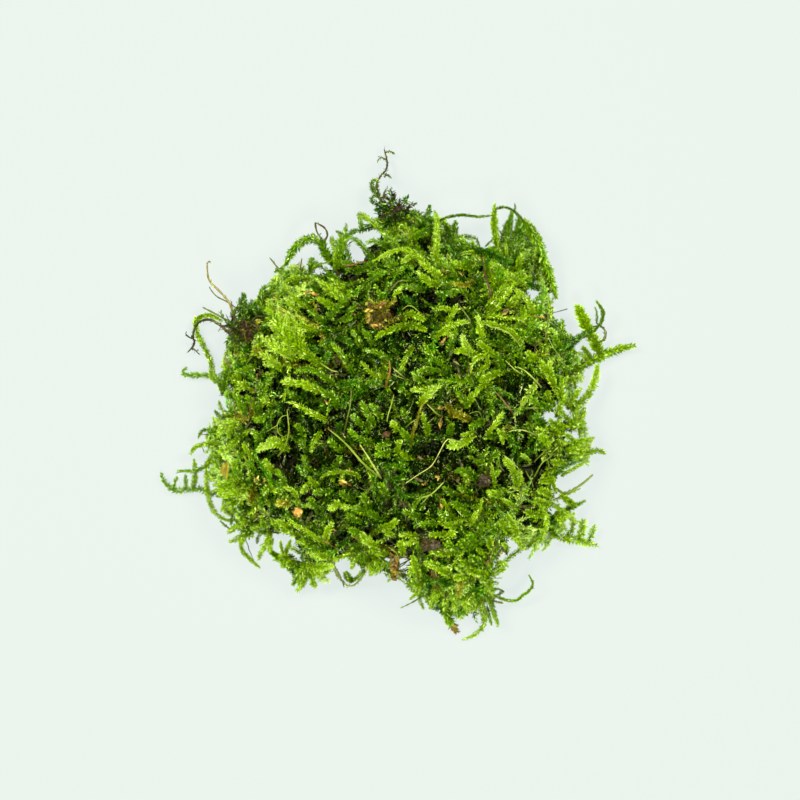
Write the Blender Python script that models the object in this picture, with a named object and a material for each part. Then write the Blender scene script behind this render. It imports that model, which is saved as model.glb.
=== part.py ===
"""A loose clump of feather moss, picked and laid on a flat surface.

The knotted mass of shoots is one lumpy solid that rests on a flat underside.  Shoots, bare stems and
scraps that can be told apart from it are solids of their own, which start just clear of it.  The origin
is the middle of the underside, +Z is up, and -Y is the clump's near side.
"""

import math
from collections import namedtuple

import bmesh
import bpy
from mathutils import Matrix, Vector, noise
from mathutils.bvhtree import BVHTree

MM = 0.001

# Driving dimensions
CLEARANCE = 0.32 * MM  # kept between solids that touch
CLUMP_HEIGHT = 31.5 * MM
SEGMENTS = 84  # round the tangle
RINGS = 19  # from its underside to its crown
TUFT_SIZE = 5.5 * MM
TUFT_HEIGHT = 1.7 * MM
LEAFY = 0.80 * MM  # half the width of a leafy shoot
SLIM = 0.55 * MM  # half the width of a young shoot
BARE = 0.30 * MM  # half the width of a bare stem
HAIR = 0.20 * MM  # half the width of a fibre
ROOT_DEPTH = 2.0 * MM  # how deep a stem's route is led into the tangle
TRIM_STEP = 0.15 * MM  # how finely a stem is trimmed where it meets its neighbours
LAID_STEP = 1.2 * MM  # how finely a stem on top follows what is under it
LOWERING_STEP = 0.05 * MM  # by which a stem or scrap is let down onto what is under it
CURVE_STEPS = 40  # between two points of a route
TAPERING_SHARE = 0.45  # of a stem's length

# The tangle's outline: its radius in millimetres, every 10 degrees from +X towards +Y
OUTLINE_MM = (
    36.0, 36.2, 36.4, 36.5, 38.0, 41.0, 38.6, 35.6, 39.0,
    40.4, 40.5, 38.2, 35.4, 36.6, 37.0, 39.2, 39.4, 38.4,
    37.2, 40.0, 40.6, 41.4, 41.6, 38.8, 39.6, 35.6, 34.0,
    35.0, 40.6, 43.0, 40.8, 38.4, 40.6, 39.6, 37.2, 38.8,
)

MEAN_RADIUS = sum(OUTLINE_MM) / len(OUTLINE_MM) * MM

# The tangle's side, from the underside's edge up: share of the outline's radius, share of the height
PROFILE = (
    (0.84, 0.0), (0.95, 0.03), (1.00, 0.15), (0.99, 0.28), (0.95, 0.42), (0.87, 0.56),
    (0.77, 0.69), (0.64, 0.80), (0.48, 0.89), (0.30, 0.955), (0.12, 0.99),
)

# Humps and hollows on top, in millimetres: x, y, height, half width
RELIEF_MM = (
    (-21.5, 16.0, 3.0, 8.0),
    (8.0, 17.0, 2.6, 9.0),
    (22.0, 33.0, 3.5, 7.0),
    (23.0, -11.0, 2.4, 9.0),
    (8.0, -31.0, 3.2, 8.0),
    (-29.0, -15.0, 2.4, 7.0),
    (-12.0, -20.0, 2.0, 7.0),
    (-2.0, -2.0, 1.6, 6.0),
    (-22.6, -8.6, -5.0, 4.5),
    (-4.0, 6.5, -3.0, 4.0),
    (1.0, 2.0, -2.4, 3.0),
    (14.0, 4.0, -2.4, 5.0),
    (-12.0, 26.0, -2.4, 5.0),
)

# Plants and stems, each with its free end first, in millimetres.  `half` is half the width at the base,
# and `tip` the share of it that is left at the free end.  One that isn't `rooted` grows from another stem.
Stem = namedtuple("Stem", "name slot half tip route rooted", defaults=(True,))

RIM_STEMS = (
    # far side
    Stem("stem_top_dark", "stem_dark", BARE, 0.6,
         [(-3.6, 52.8, 3.0), (-3.0, 48.8, 4.6), (-5.0, 45.8, 6.0), (-4.6, 42.4, 7.6), (-2.4, 38.0, 9.0)]),
    Stem("loop_brown_top_left", "stem_brown", 0.45 * MM, 0.5,
         [(-17.4, 37.2, 10.5), (-15.4, 36.0, 12.2), (-14.8, 34.2, 13.4), (-16.0, 31.6, 14.6)]),
    Stem("shoot_top_left_arch", "leaf_lime", LEAFY, 0.6,
         [(-23.4, 28.8, 6.5), (-21.8, 31.6, 9.5), (-19.2, 33.6, 12.0), (-16.6, 33.4, 14.0),
          (-14.6, 30.0, 16.0)]),
    Stem("stem_top_left_small", "stem_olive", BARE, 0.6,
         [(-26.8, 30.6, 4.4), (-25.8, 29.4, 6.6), (-24.2, 27.0, 9.0)]),
    Stem("frond_upper_right", "leaf_green", 0.95 * MM, 0.5,
         [(31.2, 22.6, 3.2), (30.3, 25.2, 5.6), (28.4, 29.4, 8.6), (26.7, 33.8, 11.6), (23.7, 37.6, 13.4),
          (21.4, 39.7, 13.6), (18.7, 39.8, 12.6), (18.2, 36.6, 12.2), (18.8, 32.8, 11.6), (19.4, 29.6, 10.6)]),
    Stem("stem_top_bridge", "stem_olive", BARE, 0.8,
         [(18.4, 38.4, 14.4), (15.2, 38.0, 14.6), (11.6, 38.4, 13.6), (8.0, 37.6, 13.4),
          (6.0, 35.4, 14.0)]),
    # left side
    Stem("stem_twin_left_a", "stem_olive", BARE, 0.6,
         [(-38.5, 28.8, 14.6), (-38.2, 25.5, 13.6), (-36.4, 23.6, 13.0), (-34.2, 21.0, 12.8),
          (-32.8, 17.6, 14.0)]),
    Stem("stem_twin_left_b", "stem_olive", 0.25 * MM, 0.7,
         [(-38.5, 24.4, 10.6), (-37.0, 22.5, 10.8), (-34.2, 21.0, 10.6), (-32.0, 18.8, 11.0)]),
    Stem("stem_left_upper", "stem_brown", BARE, 0.7,
         [(-40.0, 20.4, 8.0), (-38.0, 19.4, 9.0), (-34.6, 17.6, 11.0)]),
    Stem("shoot_left_loop", "leaf_lime", SLIM, 0.9,
         [(-36.4, 17.8, 5.4), (-39.4, 19.0, 4.0), (-41.8, 17.8, 3.2), (-41.4, 15.0, 2.8),
          (-40.0, 12.4, 3.0),
          (-38.6, 9.4, 4.2), (-37.6, 5.6, 6.0)]),
    Stem("twig_left_dark", "stem_dark", 0.35 * MM, 0.7,
         [(-43.6, 11.4, 2.2), (-42.0, 13.2, 3.6), (-42.2, 15.2, 4.6), (-40.6, 17.6, 6.4),
          (-37.2, 17.4, 8.4)]),
    Stem("shoot_left_level", "leaf_green", SLIM, 0.7,
         [(-43.8, 8.4, 1.8), (-44.6, 7.2, 1.6), (-43.0, 6.8, 1.9), (-40.4, 6.8, 2.4), (-37.2, 6.4, 3.4)]),
    Stem("hook_left_upper", "leaf_green", SLIM, 0.6,
         [(-41.2, -5.8, 4.0), (-40.2, -4.4, 4.6), (-38.6, -4.4, 5.6), (-36.4, -6.0, 7.6)]),
    Stem("hook_left_lower", "leaf_green", SLIM, 0.6,
         [(-42.6, -9.0, 5.6), (-41.4, -7.6, 6.4), (-39.0, -7.0, 7.4), (-36.0, -7.4, 9.0)]),
    Stem("shoot_left_long", "leaf_green", 0.70 * MM, 0.6,
         [(-48.8, -13.0, 2.6), (-48.0, -15.2, 2.2), (-45.8, -16.6, 2.0), (-43.4, -16.4, 2.2),
          (-41.0, -16.2, 3.0), (-37.6, -17.2, 5.0)]),
    Stem("shoot_left_long_branch_1", "leaf_green", 0.40 * MM, 0.6,
         [(-45.6, -13.8, 3.4), (-46.2, -15.6, 2.8), (-46.6, -16.4, 2.1)], False),
    Stem("shoot_left_long_branch_2", "leaf_green", 0.40 * MM, 0.6,
         [(-43.8, -13.4, 3.8), (-43.8, -15.0, 3.0), (-44.0, -16.4, 2.1)], False),
    Stem("shoot_left_long_branch_3", "leaf_green", 0.45 * MM, 0.6,
         [(-42.0, -10.2, 4.4), (-41.8, -12.4, 4.4), (-42.0, -14.6, 3.6), (-42.4, -16.3, 2.4)], False),
    Stem("stem_left_thin", "stem_olive", 0.25 * MM, 0.8,
         [(-45.2, -12.4, 6.0), (-42.0, -12.4, 6.4), (-39.4, -11.4, 7.2), (-37.0, -10.0, 8.4)]),
    Stem("shoot_left_drop", "leaf_green", SLIM, 0.7,
         [(-33.0, -22.4, 2.0), (-35.6, -22.6, 1.8), (-37.8, -21.2, 2.6), (-38.8, -18.4, 6.4),
          (-39.0, -14.6, 9.4), (-38.2, -9.8, 11.8)]),
    # near side
    Stem("stem_lower_left", "stem_olive", BARE, 0.7,
         [(-29.0, -32.2, 1.3), (-31.0, -30.4, 1.5), (-32.6, -28.2, 2.6), (-31.4, -24.8, 5.0)]),
    Stem("shoot_lower_left_lobe", "leaf_lime", LEAFY, 0.6,
         [(-21.2, -37.0, 2.2), (-20.2, -35.2, 3.6), (-17.8, -31.0, 7.0)]),
    Stem("stem_bottom_loop", "stem_olive", 0.35 * MM, 0.9,
         [(-14.0, -29.6, 8.0), (-13.2, -33.0, 4.4), (-11.0, -36.0, 2.2), (-8.8, -35.0, 2.8),
          (-6.8, -31.6, 6.0)]),
    Stem("stem_bottom_thin", "stem_dark", 0.25 * MM, 0.7,
         [(-0.4, -40.6, 1.0), (2.0, -39.4, 1.6), (4.6, -37.6, 3.4), (7.0, -35.4, 6.0)]),
    Stem("shoot_bottom_brown_tip", "leaf_green", SLIM, 0.5,
         [(11.2, -45.4, 1.3), (9.8, -43.2, 2.2), (8.6, -40.4, 3.8), (8.2, -36.6, 7.0)]),
    Stem("shoot_bottom_hook", "leaf_lime", SLIM, 0.6,
         [(12.4, -47.0, 1.2), (14.6, -46.0, 1.2), (16.4, -44.2, 1.8), (16.2, -40.6, 4.2)]),
    Stem("shoot_bottom_right", "leaf_green", SLIM, 0.6,
         [(19.6, -43.8, 1.4), (18.6, -41.2, 2.8), (17.4, -37.8, 5.6)]),
    Stem("stem_bottom_right_curl", "stem_brown", BARE, 0.8,
         [(25.4, -33.2, 9.6), (26.2, -35.4, 7.8), (24.6, -37.4, 6.0), (22.2, -38.8, 4.8),
          (18.0, -37.2, 5.6)]),
    # right side
    Stem("shoot_lower_right", "leaf_lime", 0.70 * MM, 0.6,
         [(39.6, -27.8, 1.6), (36.6, -26.9, 1.9), (33.4, -26.3, 2.6), (30.8, -25.4, 3.8),
          (27.0, -23.6, 6.0)]),
    Stem("shoot_lower_right_branch_1", "leaf_lime", 0.45 * MM, 0.6,
         [(34.8, -22.4, 4.8), (34.4, -24.2, 3.9), (33.8, -26.2, 2.7)], False),
    Stem("shoot_lower_right_branch_2", "leaf_lime", 0.45 * MM, 0.6,
         [(36.6, -22.4, 4.4), (36.4, -24.4, 3.4), (36.0, -26.6, 2.1)], False),
    Stem("shoot_lower_right_branch_3", "leaf_lime", 0.40 * MM, 0.6,
         [(39.0, -23.6, 3.8), (38.4, -25.4, 2.9), (37.8, -27.1, 1.9)], False),
    Stem("shoot_right_low", "leaf_green", SLIM, 0.6,
         [(37.0, -18.6, 4.0), (33.6, -20.2, 5.8), (29.4, -22.0, 8.4)]),
    Stem("stem_right_thin", "stem_olive", 0.25 * MM, 0.7,
         [(38.6, -13.2, 5.0), (36.0, -15.2, 6.8), (32.6, -16.8, 9.4)]),
    Stem("shoot_right_tip", "leaf_green", SLIM, 0.6,
         [(41.2, -9.0, 3.8), (39.4, -8.4, 5.2), (36.2, -8.8, 8.0)]),
    Stem("shoot_right_upright", "leaf_green", SLIM, 0.6,
         [(39.2, 8.8, 8.0), (38.8, 5.8, 7.2), (37.6, 3.2, 7.4), (34.6, 0.6, 9.0)]),
    Stem("shoot_right_long", "leaf_green", 0.75 * MM, 0.6,
         [(47.0, 12.8, 3.4), (45.0, 12.4, 3.0), (42.0, 11.4, 3.0), (38.8, 10.0, 3.8), (34.4, 8.0, 6.4)]),
    Stem("shoot_right_long_branch", "leaf_green", 0.45 * MM, 0.6,
         [(36.2, 12.4, 8.2), (37.2, 11.2, 6.4), (38.2, 10.2, 4.4)], False),
    Stem("shoot_right_fat", "leaf_lime", LEAFY, 0.7,
         [(35.2, 20.6, 7.4), (36.5, 18.0, 6.4), (37.9, 15.4, 5.4), (39.2, 13.0, 4.6),
          (39.9, 11.1, 3.6)], False),
    Stem("stem_right_fork", "stem_dark", 0.25 * MM, 0.8,
         [(38.2, 16.0, 5.8), (36.0, 14.6, 7.8), (33.0, 12.0, 9.4)]),
    Stem("stem_right_upper", "stem_olive", 0.25 * MM, 0.7,
         [(38.8, 21.6, 9.6), (40.2, 19.6, 8.4), (40.0, 17.4, 6.8), (38.6, 15.6, 5.6)], False),
    Stem("loop_right", "stem_dark", 0.25 * MM, 0.9,
         [(38.4, 16.6, 4.8), (40.4, 16.6, 4.2), (41.2, 15.2, 3.8), (40.6, 13.8, 4.0),
          (39.2, 13.4, 4.4)], False),
)

# Plants and stems that lie on top, with no height of their own
TOP_STEMS = (
    Stem("shoot_top_upright", "leaf_lime", SLIM, 0.6,
         [(6.5, 39.4), (6.8, 37.5), (6.8, 35.1), (6.7, 32.2), (6.6, 29.3)]),
    Stem("frond_lime_upper_left", "leaf_lime", 1.1 * MM, 0.5,
         [(-26.1, 20.5), (-23.6, 15.9), (-19.3, 11.6), (-14.9, 8.2)]),
    Stem("shoot_lime_left", "leaf_lime", LEAFY, 0.6, [(-23.1, 5.2), (-19.2, 5.0), (-15.6, 3.3)]),
    Stem("fibre_pale", "fibre_pale", HAIR, 0.8,
         [(0.5, -14.2), (3.2, -12.3), (5.5, -10.8), (6.9, -8.5), (8.0, -6.4), (8.9, -5.6), (11.2, -6.2)]),
    Stem("stem_red_upper", "stem_brown", BARE, 0.8, [(15.7, 29.5), (16.0, 26.6), (16.5, 24.3), (17.3, 21.3)]),
    Stem("stem_red_right", "stem_brown", 0.25 * MM, 0.8,
         [(17.9, 3.3), (18.9, 2.2), (19.8, 1.1), (21.2, -0.7)]),
    Stem("stem_yellow", "stem_olive", BARE, 0.7, [(-8.0, -6.6), (-6.3, -9.2), (-4.0, -13.1)]),
)

# Scraps that lie on top: centre, length, width and thickness in millimetres, turn in degrees
Scrap = namedtuple("Scrap", "name slot make centre size turn")

Finish = namedtuple("Finish", "color roughness")
FINISHES = {
    "moss_mass": Finish((0.085, 0.165, 0.012), 0.62),
    "leaf_lime": Finish((0.300, 0.470, 0.040), 0.48),
    "leaf_green": Finish((0.150, 0.270, 0.016), 0.52),
    "stem_olive": Finish((0.150, 0.150, 0.018), 0.55),
    "stem_brown": Finish((0.180, 0.070, 0.022), 0.60),
    "stem_dark": Finish((0.035, 0.022, 0.012), 0.65),
    "humus": Finish((0.026, 0.016, 0.010), 0.85),
    "bark_grey": Finish((0.060, 0.048, 0.045), 0.75),
    "fibre_pale": Finish((0.560, 0.520, 0.360), 0.50),
    "crumb_orange": Finish((0.480, 0.220, 0.050), 0.60),
    "leaf_yellow": Finish((0.420, 0.360, 0.040), 0.50),
}


def material(slot):
    """The Principled material of one finish, made once."""
    found = bpy.data.materials.get(slot)
    if found:
        return found
    made = bpy.data.materials.new(slot)
    made.use_nodes = True
    shader = made.node_tree.nodes["Principled BSDF"]
    finish = FINISHES[slot]
    shader.inputs["Base Color"].default_value = (*finish.color, 1.0)
    shader.inputs["Roughness"].default_value = finish.roughness
    shader.inputs["Metallic"].default_value = 0.0
    return made


def curve_through(knots, parameter):
    """A point on the Catmull-Rom curve through the knots, with parameter in knots from the first."""
    first = min(int(parameter), len(knots) - 2)
    t = parameter - first
    before = knots[max(first - 1, 0)]
    start, end = knots[first], knots[first + 1]
    after = knots[min(first + 2, len(knots) - 1)]
    return 0.5 * (
        2 * start
        + (end - before) * t
        + (2 * before - 5 * start + 4 * end - after) * t ** 2
        + (3 * start - before - 3 * end + after) * t ** 3
    )


class Neighbours:
    """The solids that are already in place, for keeping the next one clear of them."""

    def __init__(self):
        self.trees = []

    def add(self, thing):
        bpy.context.view_layer.update()
        depsgraph = bpy.context.evaluated_depsgraph_get()
        evaluated = thing.evaluated_get(depsgraph)
        mesh = evaluated.to_mesh()
        corners = [thing.matrix_world @ v.co for v in mesh.vertices]
        self.trees.append(BVHTree.FromPolygons(corners, [p.vertices[:] for p in mesh.polygons]))
        evaluated.to_mesh_clear()

    def distance(self, point):
        """How far the point is from the nearest solid, less than zero inside the tangle."""
        place, normal, _, depth = self.trees[0].find_nearest(point)
        if (point - place).dot(normal) < 0:
            return -depth
        return min(tree.find_nearest(point)[3] for tree in self.trees)


def finished(name, data, slot, neighbours):
    """An object in the scene with its material, known to its neighbours."""
    thing = bpy.data.objects.new(name, data)
    data.materials.append(material(slot))
    bpy.context.collection.objects.link(thing)
    neighbours.add(thing)
    return thing


# The tangle

def outline_radius(angle):
    """The outline's radius at an angle in radians, on a smooth closed curve through OUTLINE_MM."""
    count = len(OUTLINE_MM)
    place = (angle / math.tau) % 1.0 * count
    first = int(place)
    knots = [Vector((OUTLINE_MM[(first + step) % count], 0.0)) for step in (-1, 0, 1, 2)]
    return curve_through(knots, 1.0 + place - first).x * MM


def relief(x, y):
    """How much the humps and hollows raise the top at a place."""
    total = 0.0
    for hump_x, hump_y, height, half_width in RELIEF_MM:
        away = math.hypot(x / MM - hump_x, y / MM - hump_y) / half_width
        total += height * MM * math.exp(-away ** 2)
    return total


def tuft(place):
    """How far the tufts of shoots stand out of the tangle at a place, from -1 to 1."""
    spot = place / TUFT_SIZE
    return 0.65 * noise.noise(spot) + 0.35 * noise.noise(spot * 2.3)


def tangle_vertex(angle, share, level):
    """A vertex of the tangle's skin.  Its rings turn from the outline's shape to round ones at the crown."""
    reach = MEAN_RADIUS + (outline_radius(angle) - MEAN_RADIUS) * share
    flat = Vector((math.cos(angle), math.sin(angle), 0.0)) * reach * share
    place = flat + Vector((0.0, 0.0, CLUMP_HEIGHT * level))
    above_edge = min(level / 0.15, 1.0)
    slope = Vector((flat.x, flat.y, reach * 1.6 * level)).normalized()
    lift = relief(place.x, place.y) * min(level / 0.5, 1.0)
    return place + slope * (2 * TUFT_HEIGHT * tuft(place) * above_edge) + Vector((0.0, 0.0, lift))


def make_tangle(neighbours):
    """The knotted mass: rings of vertices from a flat underside up to the crown."""
    mesh = bpy.data.meshes.new("moss_tangle")
    shape = bmesh.new()
    sides = [Vector((share, level)) for share, level in PROFILE]
    last = len(sides) - 1
    rings = []
    for ring in range(RINGS):
        share, level = curve_through(sides, last * ring / (RINGS - 1))
        around = [math.tau * step / SEGMENTS for step in range(SEGMENTS)]
        rings.append([shape.verts.new(tangle_vertex(angle, share, max(level, 0.0))) for angle in around])
    crown = shape.verts.new(tangle_vertex(0.0, 0.0, 1.0))
    for lower, upper in zip(rings, rings[1:]):
        for step in range(SEGMENTS):
            after = (step + 1) % SEGMENTS
            shape.faces.new((lower[step], lower[after], upper[after], upper[step]))
    for step in range(SEGMENTS):
        shape.faces.new((rings[-1][step], rings[-1][(step + 1) % SEGMENTS], crown))
    shape.faces.new(rings[0][::-1])
    bmesh.ops.recalc_face_normals(shape, faces=shape.faces)
    shape.to_mesh(mesh)
    shape.free()
    mesh.shade_smooth()
    mesh.set_sharp_from_angle(angle=math.radians(50))
    return finished("moss_tangle", mesh, "moss_mass", neighbours)


# Stems and shoots

def samples_along(knots, spacing):
    """Points along the smooth curve through the knots, about the spacing apart."""
    steps = CURVE_STEPS * (len(knots) - 1)
    fine = [curve_through(knots, step / CURVE_STEPS) for step in range(steps + 1)]
    length = sum((b - a).length for a, b in zip(fine, fine[1:]))
    count = max(int(length / spacing), 3)
    picked = [fine[0]]
    walked = 0.0
    for a, b in zip(fine, fine[1:]):
        walked += (b - a).length
        if walked >= len(picked) * length / count - 1e-9:
            picked.append(b)
    return picked


def clear_run(points, halves, neighbours):
    """The longest stretch of the stem that stays clear of its neighbours, as first and last index."""
    best = (0, -1)
    first = None
    for index, (point, half) in enumerate(zip(points, halves)):
        if neighbours.distance(point) < half + CLEARANCE:
            first = None
            continue
        first = index if first is None else first
        if index - first > best[1] - best[0]:
            best = (first, index)
    return best


def make_stem(stem, knots, neighbours):
    """A tapering closed tube along a stem's route, cut off where it goes in among its neighbours."""
    points = samples_along(knots, TRIM_STEP)
    tapering = max(TAPERING_SHARE * len(points), 1.0)
    halves = [stem.half * (stem.tip + (1 - stem.tip) * min(index / tapering, 1.0))
              for index in range(len(points))]
    first, end = clear_run(points, halves, neighbours)
    rings = max(round((end - first) * TRIM_STEP / max(2.0 * stem.half, 0.8 * MM)), 3)
    curve = bpy.data.curves.new(stem.name, "CURVE")
    curve.dimensions = "3D"
    curve.bevel_depth = stem.half
    curve.bevel_resolution = 1
    curve.use_fill_caps = True
    spline = curve.splines.new("POLY")
    spline.points.add(rings)
    for step, point in enumerate(spline.points):
        index = first + round((end - first) * step / rings)
        point.co = (*points[index], 1.0)
        point.radius = halves[index] / stem.half
    return finished(stem.name, curve, stem.slot, neighbours)


def make_rim_stem(stem, neighbours):
    """A stem with heights of its own.  Where its route ends short of the tangle, it bends on into it."""
    knots = [Vector(point) * MM for point in stem.route]
    tangle = neighbours.trees[0]
    place, normal, _, gap = tangle.find_nearest(knots[-1])
    if stem.rooted and (knots[-1] - place).dot(normal) > 0:
        knots.append(place - normal * ROOT_DEPTH)
    return make_stem(stem, knots, neighbours)


def height_clear(x, y, half, neighbours):
    """The lowest height at which a round thing of this half width lies on the clump."""
    height = 1.5 * CLUMP_HEIGHT
    lowest = half + LOWERING_STEP
    while height > lowest and neighbours.distance(Vector((x, y, height))) > half + 2 * CLEARANCE:
        height -= LOWERING_STEP
    return height + LOWERING_STEP


def make_top_stem(stem, neighbours):
    """A stem that lies on the clump: its route is lowered onto what is under it."""
    flat = [Vector((x * MM, y * MM, 0.0)) for x, y in stem.route]
    laid = []
    for point in samples_along(flat, LAID_STEP):
        laid.append(Vector((point.x, point.y, height_clear(point.x, point.y, stem.half, neighbours))))
    return make_stem(stem, laid, neighbours)


# Scraps

def crumb(size):
    """A rough rounded lump of the given length, width and thickness."""
    shape = bmesh.new()
    bmesh.ops.create_icosphere(shape, subdivisions=2, radius=0.5)
    for vertex in shape.verts:
        vertex.co *= 1.0 + 0.35 * noise.noise(vertex.co * 2.6 + Vector(size))
        vertex.co = Vector([c * s * MM for c, s in zip(vertex.co, size)])
    return shape


def flake(size):
    """A thin flake with an uneven edge, of the given length, width and thickness."""
    shape = bmesh.new()
    corners = 9
    turn = 2.0 * size[0]
    rim = []
    for step in range(corners):
        angle = math.tau * step / corners
        reach = 0.5 + 0.12 * math.sin(3.0 * angle + turn) + 0.08 * math.sin(5.0 * angle - turn)
        rim.append(shape.verts.new((size[0] * MM * reach * math.cos(angle),
                                    size[1] * MM * reach * math.sin(angle), 0.0)))
    face = shape.faces.new(rim)
    grown = bmesh.ops.extrude_face_region(shape, geom=[face])["geom"]
    lifted = [v for v in grown if isinstance(v, bmesh.types.BMVert)]
    bmesh.ops.translate(shape, verts=lifted, vec=(0.0, 0.0, size[2] * MM))
    bmesh.ops.recalc_face_normals(shape, faces=shape.faces)
    return shape


def wedge(size):
    """A leaf folded along its midrib, pointed at one end and cut square at the other."""
    shape = bmesh.new()
    length, width, thick = (s * MM for s in size)
    fold = 0.3 * width
    outline = ((-0.5, 0.5), (0.1, 0.42), (0.5, 0.0), (0.1, -0.42), (-0.5, -0.5))
    rows = []
    for lift in (0.0, thick):
        row = []
        for along, across in outline:
            row.append(shape.verts.new((length * along, width * across, lift + fold * abs(across))))
        rows.append(row)
        row.append(shape.verts.new((-0.5 * length, 0.0, lift)))
    bottom, top = rows
    count = len(bottom)
    for step in range(count):
        after = (step + 1) % count
        shape.faces.new((bottom[step], bottom[after], top[after], top[step]))
    for row in rows:
        base_mid, tip = row[5], row[2]
        shape.faces.new((row[0], row[1], tip, base_mid))
        shape.faces.new((base_mid, tip, row[3], row[4]))
    bmesh.ops.recalc_face_normals(shape, faces=shape.faces)
    return shape


SCRAPS = (
    Scrap("humus_top", "humus", crumb, (-1.6, 38.6), (5.4, 3.8, 2.6), 20),
    Scrap("root_mass_left", "humus", crumb, (-31.3, 15.6), (9.0, 3.8, 2.4), -8),
    Scrap("scrap_bark_near", "bark_grey", flake, (5.4, -25.8), (4.2, 1.8, 0.6), 5),
    Scrap("scrap_bark_right", "bark_grey", flake, (15.7, -13.5), (2.8, 2.4, 0.7), 70),
    Scrap("dead_leaves_centre", "stem_brown", crumb, (-4.8, 18.1), (3.0, 5.0, 1.6), 15),
    Scrap("crumb_orange", "crumb_orange", crumb, (-20.1, -19.8), (2.0, 1.7, 1.4), 30),
    Scrap("bead_brown", "stem_brown", crumb, (-2.9, -4.7), (1.3, 1.2, 1.1), 0),
    Scrap("leaf_yellow_wedge", "leaf_yellow", wedge, (-34.2, -11.6), (3.2, 2.2, 0.5), 65),
    Scrap("scrap_orange_near", "crumb_orange", flake, (-1.2, -31.1), (4.0, 1.8, 0.5), 90),
)


def surface_tilt(x, y, neighbours):
    """The turn that lays a flat scrap along the clump's surface at a place."""
    tangle = neighbours.trees[0]
    reach = 2 * MM
    normal = Vector()
    for step_x in (-1, 0, 1):
        for step_y in (-1, 0, 1):
            above = Vector((x + step_x * reach, y + step_y * reach, 2 * CLUMP_HEIGHT))
            _, found, _, _ = tangle.ray_cast(above, Vector((0.0, 0.0, -1.0)))
            normal += found or Vector((0.0, 0.0, 1.0))
    return Vector((0.0, 0.0, 1.0)).rotation_difference(normal.normalized()).to_matrix().to_4x4()


def make_scrap(scrap, neighbours):
    """A scrap, turned, tilted to the surface and lowered until it all but touches."""
    shape = scrap.make(scrap.size)
    x, y = (c * MM for c in scrap.centre)
    turn = Matrix.Rotation(math.radians(scrap.turn), 4, "Z")
    shape.transform(surface_tilt(x, y, neighbours) @ turn)
    height = 1.5 * CLUMP_HEIGHT
    while height > LOWERING_STEP:
        place = Vector((x, y, height))
        if min(neighbours.distance(place + v.co) for v in shape.verts) < 1.5 * CLEARANCE:
            break
        height -= LOWERING_STEP
    mesh = bpy.data.meshes.new(scrap.name)
    shape.transform(Matrix.Translation((x, y, height + LOWERING_STEP)))
    shape.to_mesh(mesh)
    shape.free()
    mesh.shade_smooth()
    mesh.set_sharp_from_angle(angle=math.radians(40))
    return finished(scrap.name, mesh, scrap.slot, neighbours)


def main():
    for thing in list(bpy.data.objects):
        bpy.data.objects.remove(thing)
    neighbours = Neighbours()
    make_tangle(neighbours)
    for scrap in SCRAPS:
        make_scrap(scrap, neighbours)
    for stem in RIM_STEMS:
        make_rim_stem(stem, neighbours)
    for stem in TOP_STEMS:
        make_top_stem(stem, neighbours)


main()
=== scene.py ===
"""The moss clump's looks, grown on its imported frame.  Metres, +Z up, -Y is the near side.

A clump of feather moss is a tangle of stems, each set with thin pointed leaves.  Every stem here is a
row of points; the leaves and the bark of a whole set of stems are worked out from those rows at once.
"""

import math
from collections import namedtuple

import bmesh
import bpy
import numpy as np
from mathutils import Matrix, Vector, noise
from mathutils.bvhtree import BVHTree


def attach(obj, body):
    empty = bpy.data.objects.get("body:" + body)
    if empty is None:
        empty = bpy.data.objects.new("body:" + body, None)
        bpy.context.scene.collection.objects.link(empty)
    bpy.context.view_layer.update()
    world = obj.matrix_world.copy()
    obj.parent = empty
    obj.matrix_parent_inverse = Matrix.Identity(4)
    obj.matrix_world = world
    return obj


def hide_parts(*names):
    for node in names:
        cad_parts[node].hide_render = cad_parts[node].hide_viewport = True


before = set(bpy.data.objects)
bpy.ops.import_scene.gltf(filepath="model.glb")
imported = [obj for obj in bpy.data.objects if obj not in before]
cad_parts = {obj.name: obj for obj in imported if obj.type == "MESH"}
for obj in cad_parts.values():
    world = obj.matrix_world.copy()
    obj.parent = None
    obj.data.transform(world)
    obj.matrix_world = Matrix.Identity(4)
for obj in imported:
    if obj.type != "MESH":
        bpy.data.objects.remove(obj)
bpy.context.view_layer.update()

MM = 0.001
TANGLE = "moss_tangle"

# The camera, and the photo's frame as it sees it
PHOTO_SIDE = 800  # pixels
PIXEL = 0.2 * MM  # at the height of the clump's rim
RIM_HEIGHT = 9.0 * MM
PHOTO_CENTRE = (-0.4 * MM, 1.8 * MM)
LENS, SENSOR = 100.0, 36.0
CAMERA_HEIGHT = RIM_HEIGHT + PHOTO_SIDE * PIXEL * LENS / SENSOR

# The leaf map: tones side by side in columns, with a band each for living leaves, dead leaves and bark
COLUMNS = 64
HUES = 4  # columns to a tone
TONES = COLUMNS // HUES
LIVING, DEAD, BARK = (0.01, 0.49), (0.51, 0.74), (0.76, 0.99)
OLIVE = 3  # the hue of old yellowish leaves; in living ones 0 to 2 go from lime to deep green

FLOOR_GAP = 0.05 * MM  # the lowest that a leaf lies
FLOOR_SOFT = 0.30 * MM  # how gently leaves flatten out above the floor
STEM_POINTS = 12  # points on the path of a stem
UP = np.array((0.0, 0.0, 1.0))
HIGH_ABOVE = 1.0  # metres, over everything
BELOW_RIM = 0.6  # of the rim's height: where a shoot past the outline looks for the skin


def smoothstep(low, high, value):
    share = np.clip((value - low) / (high - low), 0.0, 1.0)
    return share * share * (3.0 - 2.0 * share)


def blended(low, high, share):
    return low + (high - low) * share


def unit(vectors):
    """The vectors at length 1."""
    return vectors / np.maximum(np.linalg.norm(vectors, axis=-1, keepdims=True), 1e-12)


def squared(vectors, axis):
    """The part of the vectors square to the axis, at length 1."""
    return unit(vectors - axis * (vectors * axis).sum(-1, keepdims=True))


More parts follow.
